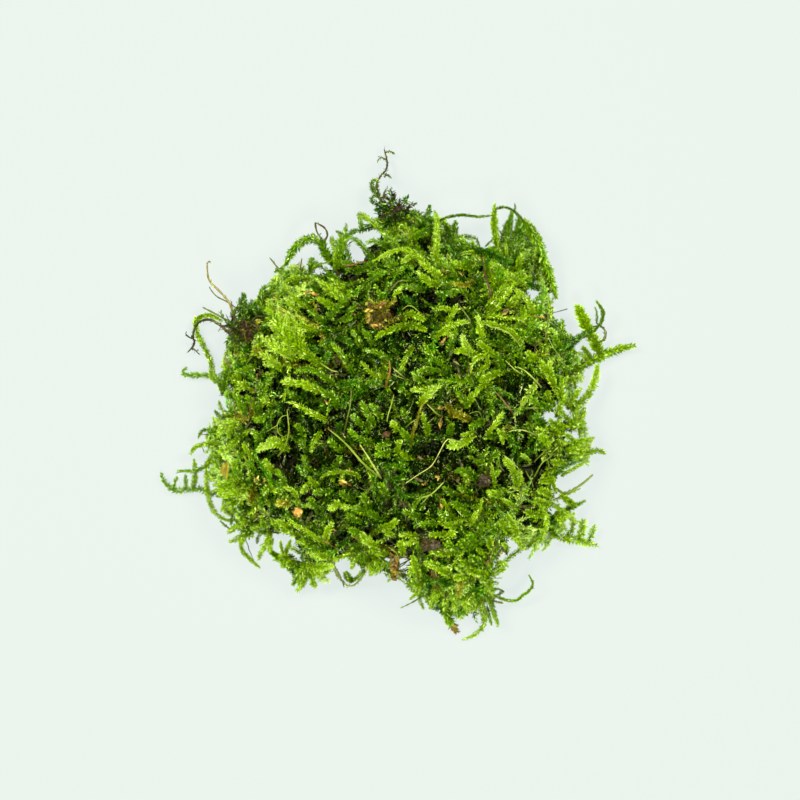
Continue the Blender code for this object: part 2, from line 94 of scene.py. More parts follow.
def soft_noise(points, size, seed):
    """Smooth noise from 0 to 1, with spots of about the given size."""
    side = 16  # cells before the noise repeats
    lattice = np.random.default_rng(seed).uniform(0.0, 1.0, (side, side, side))
    spot = points / size + 100.0  # above zero everywhere
    cell = np.floor(spot).astype(int)
    share = spot - cell
    share = share * share * (3.0 - 2.0 * share)
    total = np.zeros(len(points))
    for corner in np.ndindex(2, 2, 2):
        weight = np.prod(np.where(corner, share, 1.0 - share), axis=1)
        total += weight * lattice[tuple(((cell + corner) % side).T)]
    return total


def in_photo(points):
    """Where the photo shows the points: x to the right and y down, in its pixels."""
    scale = (CAMERA_HEIGHT - RIM_HEIGHT) / (CAMERA_HEIGHT - points[..., 2]) / PIXEL
    x = PHOTO_SIDE / 2 + (points[..., 0] - PHOTO_CENTRE[0]) * scale
    y = PHOTO_SIDE / 2 - (points[..., 1] - PHOTO_CENTRE[1]) * scale
    return x, y


def from_photo(x, y, height):
    """The place at a height that the photo shows at a pixel."""
    scale = (CAMERA_HEIGHT - height) / (CAMERA_HEIGHT - RIM_HEIGHT) * PIXEL
    return PHOTO_CENTRE[0] + (x - PHOTO_SIDE / 2) * scale, PHOTO_CENTRE[1] - (y - PHOTO_SIDE / 2) * scale


# The tangle's skin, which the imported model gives

def triangles_of(thing):
    """A mesh object's vertices and triangles."""
    mesh = thing.data
    mesh.calc_loop_triangles()
    places = np.empty(len(mesh.vertices) * 3)
    mesh.vertices.foreach_get("co", places)
    corners = np.empty(len(mesh.loop_triangles) * 3, int)
    mesh.loop_triangles.foreach_get("vertices", corners)
    return places.reshape(-1, 3), corners.reshape(-1, 3)


class Skin:
    """The surface that the moss grows to."""

    def __init__(self, thing):
        self.places, self.corners = triangles_of(thing)
        self.tree = BVHTree.FromPolygons(self.places.tolist(), self.corners.tolist())
        a, b, c = (self.places[self.corners[:, i]] for i in range(3))
        cross = np.cross(b - a, c - a)
        self.area = np.linalg.norm(cross, axis=1) / 2.0
        self.normal = unit(cross)

    def scattered(self, count, weight, rng, choices=6):
        """Places spread evenly over the skin: (places, normals)."""
        chance = self.area * weight
        chance /= chance.sum()
        found = np.empty((count, 3))
        normals = np.empty((count, 3))
        for index in range(count):
            face = rng.choice(len(chance), choices, p=chance)
            part = rng.uniform(0.0, 1.0, (choices, 2))
            part = np.where(part.sum(1, keepdims=True) > 1.0, 1.0 - part, part)
            a, b, c = (self.places[self.corners[face, i]] for i in range(3))
            tries = a + (b - a) * part[:, :1] + (c - a) * part[:, 1:]
            apart = np.linalg.norm(tries[:, None] - found[None, :index], axis=2).min(1, initial=1.0)
            best = int(apart.argmax())
            found[index] = tries[best]
            normals[index] = self.normal[face[best]]
        return found, normals

    def nearest(self, points):
        """The skin's nearest places and their normals."""
        found = [self.tree.find_nearest(Vector(point)) for point in points]
        return np.array([f[0] for f in found]), np.array([f[1] for f in found])

    def under_pixel(self, x, y, lift):
        """The place that the photo shows at a pixel, at the given height over the skin."""
        height = RIM_HEIGHT
        for _ in range(4):
            at_x, at_y = from_photo(x, y, height)
            hit = self.tree.ray_cast(Vector((at_x, at_y, HIGH_ABOVE)), Vector((0.0, 0.0, -1.0)))[0]
            if hit is None:
                hit = self.tree.find_nearest(Vector((at_x, at_y, BELOW_RIM * RIM_HEIGHT)))[0]
            height = hit.z + lift
        return at_x, at_y, height


# Stems

# path: points along each, from its root; side: the way its leaves spread; tone: 0 dark to 1 bright; hue: 0
# to 3; leaf: the length of its leaves; life: whether they are green
Stems = namedtuple("Stems", "path side tone hue leaf life")


def some(stems, rows):
    return Stems(*(part[rows] for part in stems))


def bezier(a, b, c, d, count):
    """Points along cubic curves."""
    t = np.linspace(0.0, 1.0, count)[None, :, None]
    a, b, c, d = (p[:, None, :] for p in (a, b, c, d))
    return a * (1 - t) ** 3 + 3 * b * t * (1 - t) ** 2 + 3 * c * t ** 2 * (1 - t) + d * t ** 3


def curve_through(knots, count):
    """Points evenly spaced on the smooth curve through the knots."""
    steps = 24  # between two knots
    pieces = []
    last = len(knots) - 1
    t = np.arange(steps)[:, None] / steps
    for first in range(last):
        before, start = knots[max(first - 1, 0)], knots[first]
        end, after = knots[first + 1], knots[min(first + 2, last)]
        pieces.append(0.5 * (2 * start + (end - before) * t
                             + (2 * before - 5 * start + 4 * end - after) * t ** 2
                             + (3 * start - before - 3 * end + after) * t ** 3))
    fine = np.concatenate(pieces + [knots[-1:]])
    walked = np.concatenate(([0.0], np.cumsum(np.linalg.norm(np.diff(fine, axis=0), axis=1))))
    wanted = np.linspace(0.0, walked[-1], count)
    return np.stack([np.interp(wanted, walked, fine[:, axis]) for axis in range(fine.shape[1])], axis=1)


def lengths(paths):
    return np.linalg.norm(np.diff(paths, axis=1), axis=2).sum(1)


def along(paths, rows, share):
    """The places and directions at a share of the way along some paths."""
    last = paths.shape[1] - 1
    spot = np.clip(share, 0.0, 1.0) * last
    cell = np.minimum(spot.astype(int), last - 1)
    part = (spot - cell)[:, None]
    start, end = paths[rows, cell], paths[rows, cell + 1]
    before = paths[rows, np.maximum(cell - 1, 0)]
    after = paths[rows, np.minimum(cell + 2, last)]
    direction = (end - before) * (1.0 - part) + (after - start) * part
    return start + (end - start) * part, unit(direction)


BRANCH_POINTS = 7
SHORTEST_BRANCH = 1.3 * MM
SHORTEST_OF_LONGEST = 0.3  # where that is less
LAST_BRANCH = 0.94  # how far along its stem
TOWARDS_TIP = 0.72  # how much shorter branches get
BRANCH_LENGTHS = (0.55, 1.15)  # their spread
BRANCH_LIFT = 0.16  # how much a branch leaves the plane of its frond
BRANCH_TURN, BRANCH_SWAY = 0.45, 0.25  # how much its end turns along its stem, and out of the plane
BRANCH_BRIGHTER = 0.05  # than its stem, by tone
BRANCH_LEAF = 0.90  # its leaves' length over its stem's


def branches_of(stems, spacing, longest, rng, angle=(34.0, 60.0), start_share=0.14):
    """Side branches on alternate sides of each stem, the longest below its middle, as a feather's."""
    counts = np.maximum((lengths(stems.path) / spacing).astype(int), 0)
    rows = np.repeat(np.arange(len(counts)), counts)
    order = np.arange(len(rows)) - np.repeat(np.cumsum(counts) - counts, counts)
    room = LAST_BRANCH - start_share
    share = (order + rng.uniform(0.25, 1.1, len(rows))) / counts[rows] * room + start_share
    profile = smoothstep(0.0, 0.35, share) * (1.0 - TOWARDS_TIP * smoothstep(0.40, 1.0, share))
    length = longest[rows] * profile * rng.uniform(*BRANCH_LENGTHS, len(rows))
    kept = length > np.minimum(SHORTEST_BRANCH, SHORTEST_OF_LONGEST * longest[rows])
    rows, order, share, length = rows[kept], order[kept], share[kept], length[kept]
    start, ahead = along(stems.path, rows, share)
    side = squared(stems.side[rows], ahead) * np.where(order % 2 == 0, 1.0, -1.0)[:, None]
    top = np.cross(ahead, side)
    turn = np.radians(rng.uniform(*angle, len(rows)))[:, None]
    lift = rng.normal(0.0, BRANCH_LIFT, len(rows))[:, None]
    out = unit(ahead * np.cos(turn) + side * np.sin(turn) + top * lift)
    length = length[:, None]
    sway = rng.normal(0.0, BRANCH_SWAY, len(rows))[:, None]
    bend = unit(out + ahead * BRANCH_TURN + top * sway)
    middle = start + out * length * 0.35
    later = start + out * length * 0.68
    end = later + bend * length * 0.34
    path = bezier(start, middle, later, end, BRANCH_POINTS)
    spread = squared(np.cross(out, top), out)
    tone = stems.tone[rows] + BRANCH_BRIGHTER + 0.10 * share + rng.normal(0.0, 0.04, len(rows))
    return Stems(path, spread, tone, stems.hue[rows], stems.leaf[rows] * BRANCH_LEAF, stems.life[rows])


# Meshes

class Growth:
    """What one piece is made of: vertices, triangles and each vertex's place on the leaf map."""

    def __init__(self):
        self.places, self.faces, self.spots = [], [], []
        self.count = 0

    def add(self, places, faces, spots):
        self.places.append(places)
        self.faces.append(faces + self.count)
        self.spots.append(spots)
        self.count += len(places)

    def mesh(self, name):
        places = np.concatenate(self.places)
        low = places[:, 2] < FLOOR_GAP + FLOOR_SOFT
        depth = (places[low, 2] - FLOOR_GAP - FLOOR_SOFT) / FLOOR_SOFT
        places[low, 2] = FLOOR_GAP + FLOOR_SOFT * np.exp(np.maximum(depth, -6.0))
        faces = np.concatenate(self.faces)
        spots = np.concatenate(self.spots)
        mesh = bpy.data.meshes.new(name)
        mesh.vertices.add(len(places))
        mesh.vertices.foreach_set("co", places.ravel())
        mesh.loops.add(faces.size)
        mesh.loops.foreach_set("vertex_index", faces.ravel().astype(np.int32))
        mesh.polygons.add(len(faces))
        mesh.polygons.foreach_set("loop_start", np.arange(0, faces.size, 3, dtype=np.int32))
        mesh.uv_layers.new(name="OFBake").uv.foreach_set("vector", spots[faces.ravel()].ravel())
        mesh.update()
        mesh.shade_flat()
        return mesh


def map_spot(tone, hue, across, share, band):
    """The place on the leaf map of a tone, with across from -1 to 1 and share along the leaf."""
    level = np.floor(np.clip(tone, 0.0, 0.9999) * TONES)
    column = level * HUES + np.clip(hue, 0, HUES - 1)
    u = (column[:, None] + 0.5 + 0.4 * across) / COLUMNS
    v = band[:, :1] + (band[:, 1:] - band[:, :1]) * share
    return np.stack(np.broadcast_arrays(u, v), axis=-1)


# A leaf: along, across and how far each corner is raised, for the folded leaf and the plain one
Shape = namedtuple("Shape", "along across raised faces")
FOLDED = Shape(
    np.array((0.0, 0.34, 0.34, 0.42, 1.0)),
    np.array((0.0, 1.0, -1.0, 0.0, 0.0)),
    np.array((0.0, 1.0, 1.0, 0.0, 0.0)),
    np.array(((0, 1, 3), (0, 3, 2), (1, 4, 3), (3, 4, 2))),
)
PLAIN = Shape(
    np.array((0.0, 0.42, 0.42, 1.0)),
    np.array((0.0, 1.0, -1.0, 0.0)),
    np.array((0.0, 1.0, 1.0, 0.0)),
    np.array(((0, 1, 3), (0, 3, 2))),
)
SLIMNESS = 0.42  # a leaf's width over its length
KEEL = 0.45  # how deep a leaf is folded, over half its width
GLINT_LEAVES = 0.06  # the share of the leaves that are much paler: painted highlight, standing for glints
GLINT_PALER = 0.42  # by how much tone, as painted highlight
DEAD_DARKER = 0.20  # by how much tone a dead leaf is darker
BODY = 0.25  # half the width of a shoot without its leaves, over a leaf's length
OPEN_BODY = 0.16  # where a shoot's leaves stand apart
FULL_BODY = 0.38  # where they close over one another
FLATNESS = 0.50  # how far the leaves turn flat, as pressed
LEAF_ANGLE_SPREAD = 12.0  # degrees
LEAF_TILT = 0.32  # how unevenly leaves are turned about their length
LEAF_CURL = (0.12, 0.14)  # how far a tip bends down, over the leaf's length, and its spread
LEAF_SIZES, LEAF_WIDTHS = (0.70, 1.25), (0.8, 1.2)  # their spread
ROOT_LEAF, TIP_LEAF = 0.78, 0.64  # how much shorter leaves are at a shoot's root and at its tip
TIP_BRIGHTER = 0.20  # by how much tone a shoot's tip is brighter than its root
TONE_SPREAD = 0.09  # from leaf to leaf
NO_DEAD_TIP = 2.0  # a share of the way that no leaf reaches


def add_blades(growth, shape, base, ahead, normal, length, width, curl, tone, hue, band):
    """Leaf blades, given by the place, direction and upper side of each."""
    across = np.cross(normal, ahead)
    along_it, over_it = shape.along[None, :, None], shape.across[None, :, None]
    raised = shape.raised[None, :, None]
    half = (0.5 * width)[:, None, None]
    place = base[:, None] + ahead[:, None] * length[:, None, None] * along_it
    place = place + across[:, None] * half * over_it
    drop = (curl * length)[:, None, None] * along_it ** 2
    place = place + normal[:, None] * (raised * half * KEEL - drop)
    count = len(shape.along)
    faces = shape.faces[None] + (np.arange(len(base)) * count)[:, None, None]
    spots = map_spot(tone, hue, shape.across[None], shape.along[None], band)
    growth.add(place.reshape(-1, 3), faces.reshape(-1, 3), spots.reshape(-1, 2))


def add_leaves(growth, stems, per_metre, rng, spread=(48.0, 30.0), dead_from=NO_DEAD_TIP, around=230.0,
               body=BODY):
    """Leaves along every stem, over its upper side and its two edges or all around it."""
    counts = np.maximum((lengths(stems.path) * per_metre).astype(int), 3)
    rows = np.repeat(np.arange(len(counts)), counts)
    order = np.arange(len(rows)) - np.repeat(np.cumsum(counts) - counts, counts)
    share = (order + rng.uniform(0.2, 0.8, len(rows))) / counts[rows]
    axis_point, axis = along(stems.path, rows, share)
    side = squared(stems.side[rows], axis)
    top = np.cross(axis, side)
    top = top * np.where(top[:, 2:] < -0.3, -1.0, 1.0)
    half_around = math.radians(0.5 * around)
    roll = math.pi / 2 + half_around * np.where(order % 2 == 0, 1.0, -1.0) * rng.uniform(0.0, 1.0, len(rows))
    out = side * np.cos(roll)[:, None] + top * np.sin(roll)[:, None]
    open_angle = blended(spread[0], spread[1], smoothstep(0.55, 1.0, share))
    open_angle = np.radians(open_angle + rng.normal(0.0, LEAF_ANGLE_SPREAD, len(rows)))[:, None]
    ahead = unit(axis * np.cos(open_angle) + out * np.sin(open_angle))
    inner = axis * np.sin(open_angle) - out * np.cos(open_angle)
    normal = squared(blended(inner, top, FLATNESS) + rng.normal(0.0, LEAF_TILT, (len(rows), 3)), ahead)
    profile = blended(ROOT_LEAF, 1.0, smoothstep(0.0, 0.25, share))
    profile = profile * blended(1.0, TIP_LEAF, smoothstep(0.78, 1.0, share))
    length = stems.leaf[rows] * profile * rng.uniform(*LEAF_SIZES, len(rows))
    width = length * SLIMNESS * rng.uniform(*LEAF_WIDTHS, len(rows))
    tone = stems.tone[rows] + TIP_BRIGHTER * (share - 0.45) + rng.normal(0.0, TONE_SPREAD, len(rows))
    # Painted highlight: a share of the leaves is made much paler, to stand for glints
    tone = tone + np.where(rng.uniform(0.0, 1.0, len(rows)) < GLINT_LEAVES, GLINT_PALER, 0.0)
    stem_hue = stems.hue[rows]
    hue = np.clip(stem_hue + rng.choice((-1, 0, 0, 0, 0, 1), len(rows)), 0, OLIVE - 1)
    hue = np.where(stem_hue == OLIVE, OLIVE, hue)
    living = stems.life[rows, None] & (share < dead_from)[:, None]
    band = np.where(living, np.array(LIVING), np.array(DEAD))
    tone = np.where(living[:, 0], tone, tone - DEAD_DARKER)
    curl = rng.normal(*LEAF_CURL, len(rows))
    base = axis_point + out * body * stems.leaf[rows, None] * blended(1.0, 0.4, share ** 4)[:, None]
    add_blades(growth, PLAIN, base, ahead, normal, length, width, curl, tone, hue, band)


def add_body(growth, stems, rng, sides=3, rings=4, body=BODY):
    """The part of every leafy shoot that its leaves close over: leaf bases laid one on the other."""
    add_bark(growth, stems, body * stems.leaf, rng, stems.hue, sides, rings, taper=0.4, band=LIVING,
             reach=0.30)


AT_TIP, TIP_RADIUS = 0.9999, 0.25  # how a tube closes at its end


def add_bark(growth, stems, half, rng, hue, sides=3, rings=4, taper=0.65, rough=0.0, band=BARK, reach=1.0):
    """A tapering tube along every stem, which shows a band of the leaf map as far as reach."""
    count = len(stems.path)
    rows = np.repeat(np.arange(count), rings)
    share = np.tile(np.linspace(0.0, 1.0, rings), count)
    centre, axis = along(stems.path, rows, share)
    side = squared(stems.side[rows], axis)
    top = np.cross(axis, side)
    angle = np.arange(sides) * math.tau / sides
    radius = np.broadcast_to(half, (count,))[rows] * (1.0 - taper * share ** 1.5)
    radius = radius * (1.0 + rough * rng.uniform(-1.0, 1.0, len(rows)))
    radius = np.where(share > AT_TIP, radius * TIP_RADIUS, radius)
    ring = side[:, None] * np.cos(angle)[None, :, None] + top[:, None] * np.sin(angle)[None, :, None]
    place = centre[:, None] + ring * radius[:, None, None]
    number = np.arange(count * rings * sides).reshape(count, rings, sides)
    low, high = number[:, :-1], number[:, 1:]
    low_next, high_next = np.roll(low, -1, axis=2), np.roll(high, -1, axis=2)
    faces = np.stack((np.stack((low, low_next, high_next), -1), np.stack((low, high_next, high), -1)), 3)
    across = np.linspace(-0.9, 0.9, sides)[None]
    band = np.broadcast_to(np.array(band), (len(rows), 2))
    hue = np.broadcast_to(hue, (count,))[rows]
    spots = map_spot(stems.tone[rows], hue, across, reach * share[:, None], band)
    growth.add(place.reshape(-1, 3), faces.reshape(-1, 3), spots.reshape(-1, 2))


# What lies on top, as the photo shows it: leafy shoots, fronds with side branches, bare stems and rows of
# dead leaves.  Each row has its width in pixels, its tone in percent, its hue, its height over the skin in
# tenths of a millimetre, and then x,y in pixels of every place on its route from the free end.  One number
# more is the length of its longest side branch.

L, F, B, D = "leafy", "frond", "bare", "dead"
HAND_LAID = (
    # top, left of centre
    (L, 8, 70, 0, 12, 358,214, 361,214, 368,219, 376,226, 384,232),
    (L, 6, 60, 1, 6, 358,214, 360,221, 362,229),
    (L, 7, 34, 1, 4, 350,232, 361,230, 372,227, 380,226),
    (L, 10, 62, 1, 12, 346,224, 345,232, 343,241, 340,250, 338,259, 337,267),
    (L, 4, 60, 1, 10, 336,231, 342,234),
    (L, 8, 60, 0, 10, 331,237, 334,248, 336,258, 338,269),
    (L, 9, 55, 1, 10, 350,238, 356,240, 362,246, 368,253, 375,261),
    (L, 6, 48, 1, 6, 345,243, 348,252, 350,260, 350,268),
    (L, 3, 62, 0, 16, 332,260, 326,263, 320,264, 314,268, 309,275),
    (L, 10, 45, 1, 4, 312,258, 311,264, 312,272),
    (L, 7, 80, 0, 20, 374,261, 382,257, 391,252, 400,250, 408,250, 414,254, 421,259, 428,265, 434,271,
     442,278),
    (L, 6, 88, 0, 20, 403,262, 408,258, 413,254),
    (L, 12, 60, 1, 2, 380,231, 388,238, 396,246, 400,256),
    (L, 9, 60, 1, 4, 367,243, 375,241, 384,244, 390,250),
    (L, 6, 60, 0, 10, 402,222, 407,228, 412,236, 415,243),
    (L, 9, 45, 1, 6, 415,212, 420,220, 424,228),
    (L, 10, 38, 2, 6, 430,206, 428,214, 425,222, 420,230),
    (L, 9, 55, 1, 4, 414,237, 424,232, 433,226),
    (L, 12, 50, 1, 4, 443,222, 449,231, 452,242, 455,252),
    (L, 9, 52, 1, 4, 455,221, 455,230, 450,240),
    (L, 5, 50, 1, 12, 459,236, 468,236, 474,238, 479,243, 481,251),
    (L, 3, 55, 1, 12, 485,247, 489,243, 495,239, 499,236),
    (L, 7, 66, 0, 20, 496,208, 495,215, 496,223, 497,232, 497,241, 500,251, 503,262),
    (L, 11, 50, 1, 10, 512,211, 510,222, 508,234, 507,246, 507,258),
    (L, 12, 46, 2, 8, 520,216, 521,229, 519,242, 516,254, 514,266),
    (L, 4, 82, 0, 18, 505,234, 506,244, 507,256),
    (L, 8, 50, 2, 2, 500,252, 490,252, 480,251, 470,250),
    (L, 9, 45, 2, 2, 512,262, 502,259, 492,255, 484,253),
    (L, 8, 38, 2, 0, 447,245, 453,253, 459,262, 464,271),
    (L, 9, 62, 1, 8, 441,256, 446,264, 452,272, 458,281),
    # left edge
    (L, 12, 45, 2, 10, 244,294, 244,303, 242,312, 240,320),
    (L, 8, 42, 2, 8, 251,303, 256,309, 261,316),
    (L, 9, 50, 1, 8, 265,286, 262,294, 261,303),
    (L, 8, 52, 1, 8, 276,285, 270,292, 266,299),
    (L, 6, 58, 1, 8, 275,272, 280,270, 285,274, 289,281),
    (L, 6, 62, 1, 8, 283,266, 285,275, 288,284),
    (L, 7, 55, 1, 6, 277,296, 284,292, 292,291),
    (L, 7, 66, 1, 10, 235,374, 240,371, 247,369, 256,366),
    (L, 7, 52, 1, 6, 229,366, 226,375, 224,386, 222,395),
    (L, 6, 52, 1, 6, 214,374, 219,381, 222,390),
    (L, 8, 50, 2, 6, 235,362, 240,366, 247,364),
    (L, 7, 45, 2, 4, 237,348, 243,352, 250,353),
    (L, 6, 42, 2, 4, 241,343, 245,347, 251,348),
    (L, 6, 50, 1, 6, 236,330, 236,338, 238,345),
    (B, 3, 80, 3, 10, 302,258, 301,264, 300,270),
    (B, 3, 85, 3, 16, 344,266, 352,265, 360,262, 367,262),
    (B, 2, 95, 0, 20, 398,228, 403,232, 407,237),
    (B, 2, 10, 2, 14, 408,238, 405,244),
    # upper left interior
    (F, 9, 84, 0, 14, 272,317, 283,319, 294,323, 305,327, 317,331, 16),
    (F, 8, 84, 0, 14, 262,337, 270,343, 279,349, 288,355, 297,360, 13),
    (F, 7, 80, 0, 12, 259,352, 266,357, 274,363, 283,370, 11),
    (B, 3, 72, 0, 16, 338,372, 331,370, 322,364, 313,357, 305,351),
    (L, 8, 62, 1, 12, 295,373, 305,369, 315,371, 325,377, 334,385),
    (L, 8, 62, 1, 14, 332,343, 338,350, 344,357, 350,366, 355,375),
    (L, 6, 75, 0, 14, 283,283, 289,291, 296,299, 304,307),
    (L, 5, 70, 0, 12, 286,302, 294,308, 302,315),
    (L, 5, 72, 0, 10, 292,297, 300,303, 309,308),
    (L, 12, 68, 0, 8, 316,279, 327,287, 338,296, 347,305),
    (L, 9, 62, 0, 8, 330,279, 338,286, 347,293),
    (L, 10, 62, 0, 4, 318,298, 328,304, 338,309),
    (L, 9, 60, 1, 6, 352,290, 344,300, 336,310, 329,319),
    (L, 7, 80, 0, 12, 283,284, 292,279, 303,278, 311,280),
    (L, 8, 62, 0, 6, 293,268, 294,277, 298,286),
    (L, 8, 58, 1, 4, 309,311, 317,317, 325,323),
    (L, 7, 50, 1, 4, 352,318, 343,319, 334,321),
    (L, 7, 55, 1, 8, 356,303, 350,311, 346,321),
    (D, 7, 75, 1, 14, 368,314, 371,323, 378,327, 386,326, 390,320),
    (D, 6, 80, 1, 16, 366,302, 372,306, 380,306, 388,302),
    (L, 5, 75, 0, 15, 369,299, 374,303, 380,309),
    (L, 6, 92, 0, 18, 402,288, 397,292, 393,298),
    (B, 3, 45, 3, 14, 405,280, 398,282, 392,288, 385,292),
    (D, 4, 85, 0, 14, 359,314, 366,311, 372,310),
    (D, 5, 70, 0, 12, 305,294, 311,292, 318,296),
    (L, 7, 68, 0, 14, 376,338, 384,332, 391,330, 399,326, 406,321),
    (L, 6, 62, 1, 14, 363,350, 371,351, 379,353, 386,357, 392,362),
    (L, 6, 65, 0, 12, 361,362, 367,368, 373,374, 381,377, 389,375),
    (B, 4, 95, 3, 16, 389,360, 390,370, 388,378, 386,386),
    (B, 2, 95, 0, 16, 393,368, 399,373, 404,377),
    (B, 2, 90, 0, 14, 392,374, 399,377, 405,379),
    (D, 4, 45, 2, 10, 265,368, 259,374, 257,383, 255,391),
    (L, 7, 58, 1, 8, 352,331, 358,340, 363,349),
    (L, 7, 55, 1, 8, 363,330, 369,338, 374,347),
    (L, 7, 50, 2, 6, 330,352, 325,360, 322,369),
    (L, 7, 50, 2, 6, 352,345, 346,340, 338,337),
    (L, 8, 55, 2, 8, 360,380, 350,383, 340,384),
    (L, 8, 52, 2, 8, 381,382, 371,385, 361,388),
    (L, 6, 45, 2, 4, 309,345, 316,350, 324,353),
    (L, 7, 62, 1, 10, 404,268, 397,272, 389,276),
    (L, 7, 60, 1, 10, 385,271, 377,276, 368,282),
    (L, 6, 68, 1, 10, 375,285, 379,292, 381,300),
    # right of centre, upper
    (L, 9, 80, 0, 14, 420,262, 428,268, 436,274, 444,279),
    (L, 8, 75, 0, 12, 418,272, 424,278, 432,283, 440,286),
    (L, 7, 55, 1, 6, 401,285, 409,288, 417,289, 425,290),
    (L, 7, 50, 2, 4, 404,297, 411,302, 417,307),
    (B, 2, 85, 0, 14, 402,310, 407,306, 412,306, 417,310, 422,314),
    (L, 9, 66, 0, 10, 424,320, 417,316, 410,314, 403,318),
    (L, 8, 60, 0, 8, 426,330, 418,326, 410,325, 402,329),
    (L, 6, 80, 0, 14, 437,309, 443,308, 449,310, 453,315),
    (B, 2, 62, 1, 16, 459,305, 463,310, 467,316, 470,320, 471,327),
    (L, 7, 72, 0, 14, 457,305, 454,311, 450,317, 446,323, 440,329),
    (L, 7, 84, 0, 18, 468,322, 460,322, 453,325, 446,329, 440,334, 436,340),
    (L, 7, 80, 0, 15, 453,336, 447,333, 441,333, 435,336),
    (D, 4, 80, 1, 14, 448,336, 444,341, 440,346),
    (L, 8, 95, 0, 20, 462,336, 465,342, 468,349, 471,356),
    (L, 8, 72, 0, 12, 455,352, 462,350, 470,352, 478,357),
    (L, 8, 50, 1, 8, 456,329, 453,338, 450,347, 449,357),
    (L, 7, 66, 1, 12, 424,343, 429,351, 435,358, 442,364, 450,368),
    (L, 7, 66, 0, 12, 401,369, 404,361, 408,353, 413,346),
    (L, 9, 60, 1, 8, 418,372, 427,370, 436,371, 446,375),
    (L, 7, 82, 0, 14, 411,390, 418,389, 426,390, 434,394),
    (L, 8, 66, 1, 10, 414,372, 417,377, 422,381),
    (D, 6, 30, 2, 8, 451,353, 453,360, 457,366, 460,373),
    (D, 3, 90, 1, 18, 456,376, 462,373, 467,370, 471,366),
    (D, 4, 55, 2, 14, 464,376, 469,372, 474,375, 473,381),
    (L, 8, 74, 0, 10, 515,282, 509,291, 502,300, 495,308, 488,314),
    (L, 8, 68, 0, 8, 506,285, 499,293, 492,303, 486,310),
    (L, 8, 72, 0, 10, 521,293, 514,300, 507,308),
    (L, 6, 82, 0, 14, 524,321, 515,318, 506,318, 497,316, 488,316, 480,318),
    (L, 8, 92, 0, 18, 477,316, 479,324, 481,333, 484,342),
    (L, 8, 84, 0, 15, 483,322, 492,324, 502,327, 511,332, 518,339, 523,347),
    (B, 2, 98, 0, 22, 488,326, 495,328, 503,330, 510,334, 515,339, 520,345),
    (D, 5, 75, 1, 12, 502,315, 508,310, 514,312, 520,316),
    (L, 6, 70, 3, 10, 453,283, 460,285, 467,284, 475,281),
    (L, 8, 72, 0, 10, 479,342, 485,348, 491,353, 498,356),
    (L, 6, 84, 0, 18, 471,373, 472,365, 477,358, 483,356, 488,359, 488,365, 483,369, 477,370),
    (L, 8, 70, 0, 12, 480,381, 488,377, 496,374, 504,371),
    (L, 6, 78, 0, 14, 475,396, 478,389, 484,385, 491,383),
    (B, 2, 88, 0, 16, 505,360, 511,366, 517,371, 524,375),
    (L, 8, 52, 1, 6, 497,356, 501,363, 504,371),
    (L, 8, 50, 1, 4, 488,343, 496,343, 505,346),
    (L, 8, 52, 1, 8, 464,262, 470,268, 476,270),
    (L, 8, 66, 0, 10, 453,262, 461,266, 468,267),
    (L, 8, 60, 0, 8, 495,283, 489,275, 487,267),
    (L, 9, 72, 0, 10, 505,272, 513,277, 520,283, 526,290),
    (L, 7, 86, 0, 14, 515,289, 521,294, 527,300, 532,307, 533,316),
    (L, 7, 72, 0, 10, 525,318, 523,312, 525,305),
    (B, 2, 45, 3, 12, 534,355, 535,349, 537,344, 542,342),
    (D, 4, 70, 1, 12, 535,354, 541,353, 548,352),
    (D, 4, 80, 1, 12, 535,316, 541,317, 548,316),
    (B, 3, 70, 1, 14, 547,311, 548,319, 547,328, 546,336, 546,343),
    (B, 3, 95, 0, 20, 517,367, 524,370, 531,376, 537,382, 541,387),
    (B, 2, 90, 0, 14, 549,339, 553,347, 560,357, 566,366, 571,373),
    (L, 10, 74, 0, 10, 540,361, 544,368, 550,374, 554,383),
    (L, 9, 82, 0, 10, 551,360, 549,370, 552,380, 556,390),
    (L, 9, 74, 0, 10, 566,378, 562,384, 560,392, 562,400),
    (L, 8, 70, 0, 8, 527,352, 533,358, 540,361),
    (L, 8, 60, 1, 6, 521,330, 526,337, 533,343),
    (L, 8, 60, 1, 6, 553,337, 558,344, 561,352),
    (L, 9, 50, 2, 4, 527,282, 533,286, 540,288),
    # left and lower left
    (L, 6, 62, 0, 10, 219,401, 221,408, 226,414, 232,419),
    (L, 6, 50, 1, 8, 215,411, 220,416, 228,418),
    (L, 14, 80, 0, 12, 218,437, 221,430, 226,425, 233,422, 241,422),
    (L, 8, 72, 0, 10, 229,437, 231,430, 236,425),
    (L, 10, 58, 1, 6, 233,392, 239,399, 243,407, 246,416),
    (L, 9, 58, 1, 6, 246,396, 253,404, 258,412),
    (B, 2, 75, 3, 14, 254,396, 251,403, 250,411, 249,419),
    (L, 9, 66, 0, 8, 262,399, 268,402, 274,405),
    (L, 9, 60, 1, 8, 255,421, 262,419, 268,414, 272,408),
    (L, 8, 60, 1, 8, 253,431, 258,437, 261,444),
    (L, 6, 72, 0, 12, 243,443, 246,449, 250,455, 256,461),
    (L, 7, 66, 0, 10, 229,447, 234,442, 238,437),
    (L, 14, 84, 0, 16, 257,451, 264,446, 273,444, 282,446, 289,450),
    (L, 10, 78, 0, 12, 268,440, 277,440, 286,442),
    (B, 2, 82, 0, 16, 266,432, 271,429, 277,425, 281,419),
    (B, 3, 74, 0, 16, 287,409, 288,419, 289,430, 287,440, 283,450, 278,456),
    (B, 2, 80, 0, 16, 289,415, 283,416, 279,420, 277,427, 279,434, 284,437, 289,434),
    (L, 9, 72, 0, 10, 264,460, 269,466, 274,472),
    (L, 8, 62, 1, 8, 276,470, 281,476, 286,484),
    (L, 8, 70, 0, 10, 213,485, 222,484, 231,483, 240,481),
    (L, 10, 74, 0, 8, 213,491, 222,491, 231,490, 240,488),
    (L, 10, 70, 0, 8, 218,497, 227,495, 236,493, 245,490),
    (L, 8, 66, 0, 8, 222,510, 229,506, 236,502),
